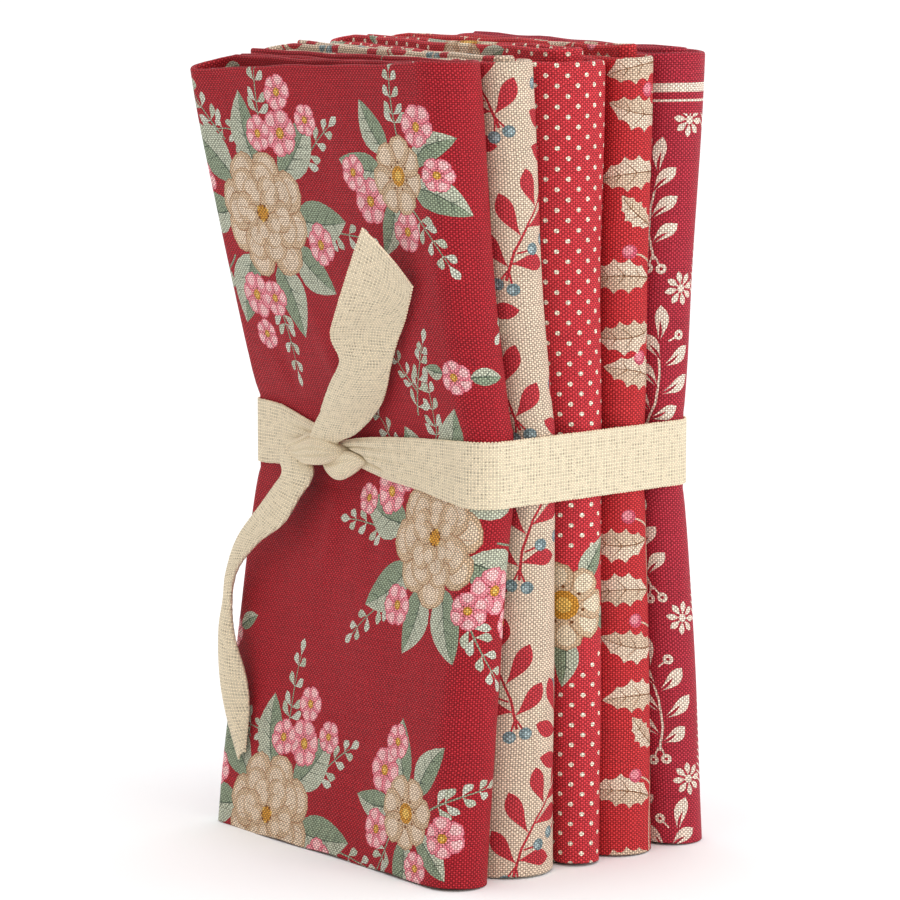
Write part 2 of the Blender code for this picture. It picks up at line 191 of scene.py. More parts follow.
def flare(base, waist, top, z):
    """Position of a plane at height z: held at the waist by the tape, and swelling above and below it."""
    above = np.clip((z - WAIST_HIGH) / (HEIGHT - WAIST_HIGH), 0, None) ** FLARE_POWER
    below = np.clip((WAIST_LOW - z) / WAIST_LOW, 0, None) ** FLARE_POWER
    return waist + (top - waist) * above + (base - waist) * below


def plane_y(plane, x, z):
    """Y of a parting plane at (x, z)."""
    loose = flare(plane.loose_base, plane.loose_waist, plane.loose_top, z)
    spine = flare(plane.spine_base, plane.spine_waist, plane.spine_top, z)
    return lerp(loose, spine, (x + WIDTH / 2) / WIDTH)


def leaf_y(index, leaf, x, z):
    """Y of the middle of one leaf (0 at the front to 3 at the back) of a quarter at (x, z)."""
    quarter = QUARTERS[index]
    first = plane_y(PLANES[index], x, z) + (CLEARANCE + LEAF) / 2
    last = plane_y(PLANES[index + 1], x, z) - (CLEARANCE + LEAF) / 2
    pitch = LEAF + LEAF_GAP
    slack = last - first - 3 * pitch
    across = (x + WIDTH / 2) / WIDTH
    shares = [lerp(a, b, across) for a, b in zip(quarter.loose_shares, quarter.spine_shares)]
    return first + leaf * pitch + slack * sum(shares[:leaf])


def front_y(x, z):
    """Y of the outer side of the front leaf."""
    return plane_y(PLANES[0], x, z) + CLEARANCE / 2


FOLD_STEPS = 28
RUN_STEPS = 30


def fold_path(index, z):
    """Plan view of one folded quarter's middle line at height z.

    It runs from the inner raw end along the third leaf, round the core fold, back along the second leaf,
    round the loop, along the front leaf, round the broad spine fold and back along the fourth leaf to the
    outer raw end. Returns rows of x, y and top height, and the rows of the core's, the loop's and the spine's
    outermost points.
    """
    quarter = QUARTERS[index]
    half = WIDTH / 2

    def y(leaf, x):
        return leaf_y(index, leaf, x, z)

    def bend(front, back, apex, side):
        rise = (y(back, apex) - y(front, apex)) / 2
        depth = min(rise, SPINE_DEPTH_LIMIT)
        centre_x = apex - side * depth
        rise = (y(back, centre_x) - y(front, centre_x)) / 2
        return centre_x, (y(back, centre_x) + y(front, centre_x)) / 2, depth, rise

    spine = bend(0, 3, half - LEAF / 2, 1)
    core = bend(1, 2, half - LEAF / 2 - CORE_SETBACK, 1)
    loop = bend(0, 1, -half + LEAF / 2 + quarter.loop_setback, -1)
    rows = []

    def run(leaf, start, end, loose_top, spine_top):
        for i in range(RUN_STEPS):
            x = lerp(start, end, i / (RUN_STEPS - 1))
            rows.append((x, y(leaf, x), lerp(loose_top, spine_top, (x + half) / WIDTH)))

    def turn(bend_, side, upward, start_top, end_top):
        centre_x, centre_y, depth, rise = bend_
        apex = len(rows) + FOLD_STEPS // 2 - 1
        for i in range(1, FOLD_STEPS):
            angle = math.pi * (i / FOLD_STEPS - 0.5)
            rows.append((centre_x + side * depth * math.cos(angle),
                         centre_y + upward * rise * math.sin(angle),
                         lerp(start_top, end_top, i / FOLD_STEPS)))
        return apex

    core_top, loose_top = quarter.core_spine_top, quarter.core_loose_top
    run(2, -half + quarter.inner_setback, core[0], loose_top, core_top)
    core_apex = turn(core, 1, -1, core_top, core_top)
    run(1, core[0], loop[0], loose_top, core_top)
    loop_apex = turn(loop, -1, -1, loose_top, quarter.front_loose_top)
    run(0, loop[0], spine[0], quarter.front_loose_top, quarter.spine_top)
    spine_apex = turn(spine, 1, 1, quarter.spine_top, quarter.spine_top)
    run(3, spine[0], -half + quarter.outer_setback, quarter.back_loose_top, quarter.spine_top)
    return np.array(rows), (core_apex, loop_apex, spine_apex)


# --------------------------------------------------------------------------------------------------
# The cloth: where a point of the flat cut lies once it is folded
# --------------------------------------------------------------------------------------------------
CLOTH_OFFSET = 0.8          # each half of a doubled leaf lies this far from the leaf's middle
COLUMN_STEP = 0.5           # the folded form is worked out on a table of these steps
HEIGHT_STEP = 2.0

# Soft waves that the whole stack shares, so that neighbours never meet: size, length along x, length along
# z, phase.
Wave = namedtuple("Wave", "size along_x along_z phase")
STACK_WAVES = (Wave(0.30, 92.0, 151.0, 0.4), Wave(0.20, -47.0, 118.0, 2.1), Wave(0.14, 31.0, 83.0, 4.0))

# Soft creases pressed into the front face by the knot and the tape's edges: where each starts and ends, how
# broad it is, and how far it stands out.
Crease = namedtuple("Crease", "x z to_x to_z breadth out")
FRONT_CREASES = (
    Crease(-6.0, 139.0, -22.0, 186.0, 5.0, 0.9),
    Crease(10.0, 140.0, 13.0, 176.0, 5.0, -0.8),
    Crease(30.0, 140.0, 43.0, 168.0, 4.0, 0.6),
    Crease(-34.0, 140.0, -47.0, 170.0, 4.5, -0.7),
    Crease(-12.0, 112.0, -20.0, 72.0, 5.5, 0.9),
    Crease(6.0, 112.0, 12.0, 84.0, 4.5, -0.8),
    Crease(34.0, 112.0, 46.0, 82.0, 4.5, 0.7),
    Crease(20.0, 111.0, 27.0, 66.0, 6.0, -0.5),
)

# The front leaf of the first quarter gapes at its loose side. How far past the loop the gape starts and ends,
# over what length it grows and fades, how far it stands out at the top and at the foot, and from which height
# it grows there.
GAPE_START, GAPE_RISE, GAPE_END, GAPE_FALL = -2.0, 8.0, 92.0, 84.0
GAPE_TOP, GAPE_TOP_START, GAPE_TOP_SPAN = 4.6, 150.0, 95.0
GAPE_FOOT, GAPE_FOOT_START = 2.2, 88.0

# The stack's waves are still this near the tape's middle, and have their full size a span beyond that.
STILL_REACH, WAVE_SPAN = 14.28, 34.0


def smooth(t):
    """An eased step from 0 to 1."""
    t = np.clip(t, 0, 1)
    return t * t * (3 - 2 * t)


def stack_wave(x, z):
    """How far the whole stack wanders in Y at (x, z); nothing where the tape holds it."""
    loose = smooth((np.abs(z - TAPE_MIDDLE) - STILL_REACH) / WAVE_SPAN)
    out = 0
    for wave in STACK_WAVES:
        out = out + wave.size * np.sin(2 * math.pi * (x / wave.along_x + z / wave.along_z) + wave.phase)
    return out * loose


def crease_depth(x, z):
    """How far the front face stands out at (x, z) for its pressed creases."""
    out = 0
    for crease in FRONT_CREASES:
        dx, dz = crease.to_x - crease.x, crease.to_z - crease.z
        length = math.hypot(dx, dz)
        along = ((x - crease.x) * dx + (z - crease.z) * dz) / length ** 2
        aside = ((x - crease.x) * dz - (z - crease.z) * dx) / length
        fade = smooth(along / 0.12) * smooth((1 - along) / 0.7)
        spread = crease.breadth * (0.55 + 0.75 * np.clip(along, 0, 1))
        out = out + crease.out * fade * np.exp(-(aside / spread) ** 2)
    return out


class FoldedSheet:
    """One 500 mm cut after folding. s runs along the fold path, t from the outer hem over the top fold to the
    inner hem, and depth is how far a point stands off the middle of the cloth towards its printed side."""

    def __init__(self, index):
        self.index = index
        self.heights = np.arange(0.0, HEIGHT + 8, HEIGHT_STEP)
        self.columns = np.arange(0.0, CLOTH_SIDE + COLUMN_STEP / 2, COLUMN_STEP)
        paths = []
        for z in self.heights:
            rows, apexes = fold_path(index, z)
            steps = np.hypot(np.diff(rows[:, 0]), np.diff(rows[:, 1]))
            length = np.concatenate(([0.0], np.cumsum(steps)))
            anchors = length[[0, *apexes, -1]]
            paths.append((rows, length, anchors))
        mean = np.mean([anchors for _, _, anchors in paths], axis=0)
        self.anchors = mean * CLOTH_SIDE / mean[-1]
        self.x = np.zeros((len(self.heights), len(self.columns)))
        self.y = np.zeros_like(self.x)
        for i, (rows, length, anchors) in enumerate(paths):
            places = np.interp(length, anchors, self.anchors)
            self.x[i] = np.interp(self.columns, places, rows[:, 0])
            self.y[i] = np.interp(self.columns, places, rows[:, 1])
            self.top = np.interp(self.columns, places, rows[:, 2])
        rng = random.Random(40 + index)
        self.top = self.top + self.unevenness(rng, 0.35)
        self.outer_hem = np.clip(0.5 + self.unevenness(rng, 0.5), 0.02, None)
        self.inner_hem = np.clip(0.6 + self.unevenness(rng, 0.6), 0.02, None)
        step = np.hypot(np.gradient(self.x, axis=1), np.gradient(self.y, axis=1))
        self.normal_x = np.gradient(self.y, axis=1) / step
        self.normal_y = -np.gradient(self.x, axis=1) / step

    def unevenness(self, rng, size):
        """A slow wander along the cloth."""
        out = np.zeros_like(self.columns)
        for length in (173.0, 67.0, 29.0):
            out += size / 2 * np.sin(2 * math.pi * self.columns / length + rng.uniform(0, 2 * math.pi))
        return out

    def read(self, table, s, z):
        """A table's values between its columns and heights."""
        column = np.clip(s / COLUMN_STEP, 0, len(self.columns) - 1.001)
        row = np.clip(z / HEIGHT_STEP, 0, len(self.heights) - 1.001)
        i, j = row.astype(int), column.astype(int)
        a, b = row - i, column - j
        low = table[i, j] * (1 - b) + table[i, j + 1] * b
        high = table[i + 1, j] * (1 - b) + table[i + 1, j + 1] * b
        return low * (1 - a) + high * a

    def place(self, s, t, depth):
        """World places, in millimetres, of flat points."""
        middle = CLOTH_SIDE / 2
        top = np.interp(s, self.columns, self.top)
        round_ = math.pi * CLOTH_OFFSET / 2
        outer, inner = t < middle - round_, t > middle + round_
        angle = np.clip((t - middle) / CLOTH_OFFSET + math.pi / 2, 0, math.pi)
        crown = top - CLOTH_OFFSET
        outer_hem = np.interp(s, self.columns, self.outer_hem)
        inner_hem = np.interp(s, self.columns, self.inner_hem)
        run = middle - round_
        z = crown + (CLOTH_OFFSET + depth) * np.sin(angle)
        z = np.where(outer, lerp(outer_hem, crown, t / run), z)
        z = np.where(inner, lerp(crown, inner_hem, (t - middle - round_) / run), z)
        side = (CLOTH_OFFSET + depth) * np.cos(angle)
        x, y = self.read(self.x, s, z), self.read(self.y, s, z)
        nx, ny = self.read(self.normal_x, s, z), self.read(self.normal_y, s, z)
        x, y = x + nx * side, y + ny * side
        y = y + stack_wave(x, z)
        if self.index == 0:
            past_loop = s - self.anchors[2]
            on_front = smooth((past_loop - 4) / 14) * smooth((self.anchors[3] - 20 - s) / 14)
            y = y - on_front * crease_depth(x, z)
            gape = smooth((past_loop - GAPE_START) / GAPE_RISE) * smooth((GAPE_END - past_loop) / GAPE_FALL)
            y = y - gape * (GAPE_TOP * smooth((z - GAPE_TOP_START) / GAPE_TOP_SPAN)
                            + GAPE_FOOT * smooth((GAPE_FOOT_START - z) / GAPE_FOOT_START))
        return np.stack((x, y, z), axis=-1)

    def normals(self, s, t):
        """Unit normals of the printed side."""
        step = 0.4
        along = self.place(s + step, t, 0) - self.place(s - step, t, 0)
        up = self.place(s, t + step, 0) - self.place(s, t - step, 0)
        out = np.cross(along, up)
        return out / np.maximum(np.linalg.norm(out, axis=-1, keepdims=True), 1e-12)

    def lattice(self):
        """Columns and rows of the cloth's own mesh, close together where it bends."""
        core, loop, spine = self.anchors[1:4]
        middle = CLOTH_SIDE / 2
        bends = [(core, 5.0, 0.8), (loop, 11.0, 1.1), (spine, 26.0, 1.4)]
        folds = [(middle, 1.6, 0.4), (WAIST_HIGH, 6.0, 2.0), (WAIST_LOW, 6.0, 2.0),
                 (CLOTH_SIDE - WAIST_HIGH, 6.0, 3.0), (CLOTH_SIDE - WAIST_LOW, 6.0, 3.0)]
        if self.index == 0:         # also closer where the front face is creased
            bends.insert(0, (298.0, 48.0, 4.0))
            folds[:0] = [(164.0, 24.0, 4.0), (88.0, 24.0, 4.0)]
        return spaced(bends), spaced(folds)


TILE = 25.0                 # the cut is triangulated in tiles this wide
LATTICE_STEP = TILE / 4
CLOSE_STEP = 2.2            # places nearer than this to each other mark a bend
WELD = 0.004                # points of the flat cut nearer than this become one


def spaced(bends):
    """Positions across the cut, a lattice step apart, closer in each (centre, reach, finer step)."""
    places = {round(i * LATTICE_STEP, 3) for i in range(int(round(CLOTH_SIDE / LATTICE_STEP)) + 1)}
    for centre, reach, fine in bends:
        places = {p for p in places if abs(p - centre) > reach + fine / 2 or p % TILE == 0}
        count = int(reach / fine)
        places |= {round(centre + i * fine, 3) for i in range(-count, count + 1)}
    return sorted(places)


# --------------------------------------------------------------------------------------------------
# Prints: flat shapes in one ink each, laid over each other as a screen printer lays them
# --------------------------------------------------------------------------------------------------
Shape = namedtuple("Shape", "outline ink")

INKS = {
    "crimson_ground": "#A41524",
    "beige_ground": "#D6C1AC",
    "scarlet_ground": "#C4303A",
    "red_ground": "#BF2A30",
    "wine_ground": "#AB2538",
    "petal_shade": "#B18C6C",
    "petal": "#CDB192",
    "petal_light": "#DFC9B1",
    "petal_cream": "#E2D0B6",
    "ochre": "#C58A2E",
    "ochre_light": "#E0B45A",
    "umber": "#7A4A26",
    "pink_shade": "#C9546A",
    "pink": "#E78C98",
    "pink_light": "#F3BDBF",
    "sage_dark": "#515F50",
    "sage": "#89977F",
    "sage_light": "#B6BBA8",
    "mist": "#C5C8BA",
    "sprig_red": "#B8303A",
    "sprig_deep": "#9C2230",
    "berry_blue": "#74898E",
    "berry_light": "#9DB1B5",
    "leaf_beige": "#D3B9A1",
    "leaf_pale": "#DFC8B3",
    "leaf_vein": "#8B6446",
    "dot_cream": "#EFE4D0",
    "folk_white": "#E8D6C6",
}
INK_ORDER = tuple(INKS)


def moved(shapes, x, y, degrees=0.0, size=1.0, flip=False):
    """Shapes turned, scaled and moved over the flat cloth."""
    c, s = math.cos(math.radians(degrees)) * size, math.sin(math.radians(degrees)) * size
    mirror = -1 if flip else 1

    def place(px, py):
        return x + c * px - s * py * mirror, y + s * px + c * py * mirror

    return [Shape([place(*point) for point in shape.outline], shape.ink) for shape in shapes]


def disc(radius, ink, x=0.0, y=0.0, points=10):
    """A round spot."""
    turns = [2 * math.pi * i / points for i in range(points)]
    return Shape([(x + radius * math.cos(a), y + radius * math.sin(a)) for a in turns], ink)


def blade_edges(length, width, fullest, bend, points, bite, steps):
    """The two edges and the midrib of a leaf that points along +x from its stalk. Its sides are hollow
    between points."""
    power = math.log(0.5) / math.log(fullest)
    upper, lower, rib = [], [], []
    for i in range(steps + 1):
        u = i / steps
        half = width / 2 * math.sin(math.pi * u ** power) ** 0.85 if 0 < i < steps else 0.0
        half *= 1 - bite * math.sin(math.pi * (u * points % 1)) ** 0.8
        middle = bend * math.sin(math.pi * u)
        upper.append((u * length, middle + half))
        lower.append((u * length, middle - half))
        rib.append((u * length, middle))
    return upper, lower, rib


def stroke(points, width, ink, tip=0.35):
    """A painted line through points, narrowing to its tip."""
    left, right = [], []
    last = len(points) - 1
    for i, (x, y) in enumerate(points):
        (ax, ay), (bx, by) = points[max(i - 1, 0)], points[min(i + 1, last)]
        length = math.hypot(bx - ax, by - ay) or 1.0
        half = width / 2 * lerp(1.0, tip, i / last)
        nx, ny = -(by - ay) / length * half, (bx - ax) / length * half
        left.append((x + nx, y + ny))
        right.append((x - nx, y - ny))
    return Shape(left + right[::-1], ink)


def drop(length, width, ink, bend=0.0, fullest=0.66, steps=7):
    """A plain drop-shaped leaf in one ink."""
    upper, lower, _ = blade_edges(length, width, fullest, bend, 0, 0.0, steps)
    return Shape(upper + lower[-2:0:-1], ink)


def shaded_leaf(length, width, inks, bend=0.0, fullest=0.42, points=0, bite=0.0, veins=3):
    """A leaf with a light half, a midrib and side veins. Inks are its body, its light half and its veins."""
    body, light, vein = inks
    steps = 4 * points if points else 8
    upper, lower, rib = blade_edges(length, width, fullest, bend, points, bite, steps)
    shapes = [Shape(upper + lower[-2:0:-1], body), Shape(upper + rib[-2:0:-1], light)]
    shapes.append(stroke(rib[:-1], 0.55, vein))
    for i in range(1, veins + 1):
        u = i / (veins + 1)
        x, y = u * length * 0.9, bend * math.sin(math.pi * u)
        reach = width * 0.30 * math.sin(math.pi * u)
        for side in (1, -1):
            shapes.append(stroke([(x, y), (x + reach * 0.8, y + side * reach)], 0.35, vein))
    return shapes


def petals(count, centre, reach, half, radius, start, rng, inks, ribs=0, points=13):
    """A ring of round petals, each shaded at its rim and lighter towards its tip."""
    shapes = []
    for petal in range(count):
        turn = start + 360 / count * petal + rng.uniform(-5, 5)
        size = radius * rng.uniform(0.94, 1.06)
        for ink, share, outward in zip(inks, (1.0, 0.91, 0.56), (0.0, 0.02, 0.09)):
            outline = []
            for i in range(points):
                a = 2 * math.pi * i / points
                ruffle = 1 + 0.045 * math.sin(4 * a + petal)
                outline.append((size * (centre + outward + reach * share * math.cos(a) * ruffle),
                                size * half * share * math.sin(a) * (1 + 0.22 * math.cos(a))))
            shapes += moved([Shape(outline, ink)], 0, 0, turn)
        for rib in range(ribs):
            lean = (rib - (ribs - 1) / 2) * half * 0.62
            line = [(size * (centre - reach * 0.5), size * lean * 0.5), (size * centre, size * lean * 0.9),
                    (size * (centre + reach * 0.62), size * lean * 1.25)]
            shapes += moved([stroke(line, 0.45, inks[0])], 0, 0, turn)
    return shapes


def rosette(radius, rng):
    """A full garden bloom: rings of round petals that overlap towards a golden middle."""
    creams = ("petal_shade", "petal", "petal_light")
    shapes = []
    for centre, count, reach, half, ribs in ((0.66, 8, 0.36, 0.33, 2), (0.49, 7, 0.31, 0.29, 2),
                                             (0.34, 6, 0.25, 0.24, 1), (0.20, 5, 0.18, 0.17, 0)):
        shapes += petals(count, centre, reach, half, radius, rng.uniform(0, 360), rng, creams, ribs)
    shapes.append(disc(radius * 0.13, "ochre", points=12))
    for i in range(9):
        a = 2 * math.pi * i / 9
        shapes.append(disc(radius * 0.026, "umber" if i % 3 else "ochre_light", radius * 0.12 * math.cos(a),
                           radius * 0.12 * math.sin(a), 6))
    return shapes


def blossom(radius, count, rng, inks=("pink_shade", "pink", "pink_light"), eye=0.24):
    """A small open flower with a golden eye."""
    start = rng.uniform(0, 360)
    shapes = petals(count, 0.58, 0.43, 0.95 * math.sin(math.pi / count), radius, start, rng, inks, points=9)
    shapes += [disc(radius * eye, "ochre", points=10), disc(radius * eye * 0.55, "ochre_light", points=7)]
    for i in range(7):
        a = math.radians(start + 360 / 7 * i)
        shapes.append(disc(radius * 0.045, "umber", radius * (eye + 0.08) * math.cos(a),
                           radius * (eye + 0.08) * math.sin(a), 5))
    return shapes


def spray(length, pairs, leaf, width, inks, stem_ink, bend=4.0):
    """A thin stem with pairs of small drop leaves."""
    line = [(length * i / 8, bend * math.sin(math.pi * i / 16)) for i in range(9)]
    shapes = [stroke(line, 0.7, stem_ink, 0.5)]
    for i in range(pairs):
        x, y = line[int(1 + 7 * (i + 0.6) / pairs)]
        for side in (1, -1):
            ink = inks[(i + (side > 0)) % len(inks)]
            shapes += moved([drop(leaf * (1 - 0.1 * i), width, ink, side * 0.6)], x, y, side * (52 - 5 * i))
    shapes += moved([drop(leaf * 0.9, width, inks[0])], line[-1][0], line[-1][1], 4)
    return shapes


def polar(radius, degrees):
    """x and y of a place round a motif's middle."""
    return radius * math.cos(math.radians(degrees)), radius * math.sin(math.radians(degrees))


SAGE = ("sage", "sage_light", "sage_dark")


def garden_print(rng):
    """Bouquets of cream garden blooms with sage leaves, pink blossoms and fine sprays on plain crimson."""
    pale, paler = ("mist", "sage_light"), ("sage_light", "mist")
    bouquet = []
    for turn, reach, length in ((58, 26, 27), (100, 27, 22), (196, 25, 30), (248, 27, 24), (330, 27, 26),
                                (12, 25, 23)):
        bouquet += moved(spray(length, 4, 6.6, 2.8, pale, "sage"), *polar(reach, turn), turn)
    for turn, length, width, flip in ((24, 27, 14, 1), (-24, 26, 15, 1), (72, 23, 13, 0), (118, 27, 15, 1),
                                      (158, 24, 14, 0), (216, 27, 15, 1), (262, 25, 14, 0), (300, 24, 13, 1)):
        leaf = shaded_leaf(length, width, SAGE, 1.6, veins=4)
        bouquet += moved(leaf, *polar(16.5, turn), turn + 6, flip=bool(flip))
    for turn, reach, size in ((40, 30, 8.0), (62, 26, 6.2), (48, 42, 6.0), (28, 41, 5.2), (226, 30, 7.6),
                              (246, 28, 6.0), (234, 42, 5.4), (322, 29, 6.8), (142, 31, 6.2)):
        bouquet += moved(blossom(size, 6, rng), *polar(reach, turn))
    bouquet += rosette(21.5, rng)
    stray = spray(24, 5, 6.2, 2.6, pale, "sage", 3.0)
    stray += moved(spray(14, 3, 5.2, 2.3, paler, "sage"), 8, 1, 58)
    small = moved(shaded_leaf(10, 5.5, SAGE, 0.5, veins=1), 4, -3, -40)
    small += moved(shaded_leaf(9, 5, SAGE, 0.5, veins=1), -3, 4, 130) + blossom(5.6, 6, rng)
    posy = moved(spray(21, 4, 6.0, 2.6, pale, "sage"), *polar(11, 148), 148)
    posy += moved(spray(20, 4, 6.0, 2.6, paler, "sage"), *polar(11, 292), 292)
    for turn, length in ((20, 21), (96, 19), (186, 21), (236, 18), (334, 20)):
        posy += moved(shaded_leaf(length, length * 0.52, SAGE, 1.4, veins=3), *polar(8, turn), turn)
    for turn, reach, size in ((58, 17, 7.4), (28, 22, 5.6), (126, 17, 6.4), (264, 18, 6.6), (210, 17, 5.4)):
        posy += moved(blossom(size, 6, rng), *polar(reach, turn))
    posy += blossom(12.0, 7, rng, ("petal_shade", "petal", "petal_light"), 0.27)
    across, up = 150.0, 196.0
    shapes = []
    for column in range(-1, 4):
        for row in range(-1, 3):
            x, y = column * across, row * up
            shapes += moved(posy, x + 44, y + 20, 40 * column + 70 * row)
            shapes += moved(stray, x + 38, y + 142, 62)
            shapes += moved(stray, x + 126, y + 38, -118, 1.0, True)
            shapes += moved(small, x + 60, y + 155, 20 * column)
            shapes += moved(small, x + 92, y + 62, 70)
            shapes += moved(bouquet, x - 28, y + 7, 18)
            shapes += moved(bouquet, x + 47, y + 105, 196, 0.96, True)
    return shapes


def sprig_print(rng):
    """Climbing sprigs of red drop leaves in pairs and small twigs, with blue-grey berries, over beige."""

    def leaf(length):
        return [drop(length, 5.2, "sprig_red", 0.7, 0.65, 10)]

    def berry(x, y):
        return [disc(1.95, "berry_blue", x, y, 11), disc(1.0, "berry_light", x - 0.4, y + 0.4, 8)]

    sprig = [stroke([(0, 0), (9, 1.6), (19, 1.2), (29, -1.0)], 0.9, "sprig_red", 0.7)]
    for x, y, turn, length in ((4, 0.8, 60, 13), (5, 1.2, -66, 11.5), (14, 1.6, 50, 14.5), (17, 1.4, -50, 13),
                               (24, 0.4, 42, 12.5), (25, 0.2, -46, 13.5), (29, -1, -6, 14)):
        sprig += moved(leaf(length), x, y, turn)
    for x, y in ((-2.2, 1.8), (-1.6, -2.8), (12.0, -3.2)):
        sprig += [stroke([(x * 0.4 + 4, 0.8), (x, y)], 0.6, "sprig_red", 1.0)] + berry(x, y)
    twig = [stroke([(0, 0), (4, 0.5), (8, 0)], 0.8, "sprig_red", 0.8)] + berry(-1.4, 0.2)
    twig += moved(leaf(12), 7.5, 0, 22) + moved(leaf(11), 6.5, 0, -52)
    across, up = 30.0, 46.0
    shapes = []
    for column in range(-1, 18):
        for row in range(-1, 12):
            x, y = column * across + 6, row * up + (up / 2 if column % 2 else 0)
            turn = 90 + rng.uniform(-9, 9) + (24 if (column + row) % 2 else -20)
            shapes += moved(twig, x + 14, y + 13, 40 + rng.uniform(-60, 60))
            shapes += moved(sprig, x, y, turn, flip=bool(row % 2))
    return shapes


DOT_PITCH = 6.3
DOT_RADIUS = 0.74


def dot_print(rng):
    """Cream pin dots set square on their corners, with a large cream flower here and there."""
    blooms = ((95.0, 60.0), (363.0, 82.0), (236.0, 232.0), (170.0, 262.0), (452.0, 214.0), (56.0, 250.0))
    shapes = []
    count = int(CLOTH_SIDE / DOT_PITCH * 2) + 2
    for column in range(count):
        for row in range(int(CLOTH_SIDE / DOT_PITCH) + 2):
            x = column * DOT_PITCH / 2
            y = (row + (0.5 if column % 2 else 0)) * DOT_PITCH
            if all(math.hypot(x - bx, y - by) > 18 for bx, by in blooms):
                shapes.append(disc(DOT_RADIUS, "dot_cream", x, y, 9))
    for x, y in blooms:
        flower = []
        for turn in (20, 95, 160, 245, 310):
            flower += moved(shaded_leaf(17, 7.5, SAGE, 1.0, veins=2), *polar(9, turn), turn)
        flower += blossom(14.0, 8, rng, ("petal_shade", "petal", "petal_cream"), 0.34)
        shapes += moved(flower, x, y, rng.uniform(0, 360))
    return shapes


def leaf_print(rng):
    """Trailing vines of beige leaves, pointed and hollow-sided, and pink berries over red."""
    shapes = []
    across, step, wave = 46.0, 16.5, 92.0
    inks = ("leaf_beige", "leaf_pale", "leaf_vein")
    for column in range(-1, 12):
        drift = column * 31.0
        vine = column * across + 10.0

        def wander(y):
            return vine + 2.6 * math.sin(2 * math.pi * (y + drift) / wave)

        for start in range(-30, 530, 20):
            line = [(wander(start + k * 5), start + k * 5) for k in range(5)]
            shapes.append(stroke(line, 0.9, "leaf_beige", 1.0))
        for row in range(-2, 30):
            y = row * step + (drift % step)
            turned = (168, 186, 176, 136, 182)[(row + 2 * column) % 5]
            for side, turn, length in ((-1, turned, 21.0 if turned > 150 else 15.0),
                                       (1, 18 if row % 2 else -14, 15.0)):
                lean = turn + rng.uniform(-5, 5)
                at = y + rng.uniform(-1.0, 1.0) if side < 0 else y + step / 2
                shapes += moved(shaded_leaf(length, length * 0.54, inks, 1.4, 0.5, 5, 0.3, 3),
                                wander(at) + side * 1.0, at, lean, flip=bool(row % 2))
            if (row + 2 * column) % 5 in (0, 2):
                by = y + step / 2
                bx = wander(by) - 9.0
                stalk = [(wander(by - 4), by - 4), (bx + 4, by - 1.4), (bx, by)]
                shapes += [stroke(stalk, 0.7, "leaf_beige", 0.8), disc(2.3, "pink_shade", bx, by, 11),
                           disc(1.5, "pink", bx - 0.4, by + 0.4, 9)]
    return shapes


def folk_print(rng):
    """Off-white stems of slit leaves, ring berries, small daisies and ferns over wine red, with plain bands
    near the top fold."""

    def slit_leaf(length, width):
        return [drop(length, width, "folk_white", 0.8),
                drop(length * 0.62, width * 0.22, "wine_ground", 0.5, 0.5)]

    stem = [stroke([(0, 0), (9, 1.5), (19, 0.5), (30, -2.5)], 0.9, "folk_white", 0.8)]
    for x, y, turn, length in ((3, 0.4, 56, 11), (5, 0.9, -54, 12), (12, 1.4, 50, 14), (14, 1.2, -52, 13),
                               (22, 0.2, 44, 13), (24, -0.2, -46, 12), (30, -2.5, -8, 14)):
        stem += moved(slit_leaf(length, 5.0), x, y, turn)
    for x, y in ((-3.0, 2.2), (-3.6, -2.4), (34.5, 4.4)):
        stem += [stroke([(x * 0.8 + 4, y * 0.2), (x, y)], 0.6, "folk_white", 1.0),
                 disc(1.9, "folk_white", x, y, 10), disc(0.7, "wine_ground", x, y, 6)]
    fern = [stroke([(0, 0), (14, 0.8), (28, 0.2), (42, 0)], 0.9, "folk_white", 0.5)]
    for i in range(12):
        x = 3 + 3.2 * i
        for side in (1, -1):
            reach = 6.4 * (1 - 0.055 * i)
            fern.append(stroke([(x, 0.4), (x + reach * 0.6, side * reach)], 1.1, "folk_white", 0.5))
    daisy = []
    for turn in range(0, 360, 45):
        daisy += moved([drop(4.6, 2.3, "folk_white", 0, 0.6, 6)], *polar(1.4, turn), turn)
    daisy.append(disc(1.5, "folk_white", points=9))
    across, up = 38.0, 52.0
    shapes = []
    for column in range(-1, 14):
        for row in range(-1, 7):
            x, y = column * across + 13, row * up + (up / 2 if column % 2 else 0) + 4
            shapes += moved(stem, x, y, 90 + rng.uniform(-18, 18), 0.86, flip=bool((column + row) % 2))
            shapes += moved(fern, x + 18, y - 14, 88 + rng.uniform(-8, 8), 0.75)
            shapes += moved(daisy, x + 9, y + 43, rng.uniform(0, 45), 0.9)
            shapes += moved(daisy, x - 11, y + 2, rng.uniform(0, 45), 0.75)
            shapes += moved(slit_leaf(10, 4.4), x - 9, y + 31, 140)
            shapes += moved(slit_leaf(9, 4.2), x - 9, y + 31, 45)
    for ink, low, high in (("wine_ground", 231.0, 269.0), ("folk_white", 234.6, 235.4),
                           ("folk_white", 237.6, 240.4), ("folk_white", 259.6, 262.4),
                           ("folk_white", 264.6, 265.4)):
        for x in range(0, 500, 25):
            shapes.append(Shape([(x, low), (x + 25, low), (x + 25, high), (x, high)], ink))
    return shapes


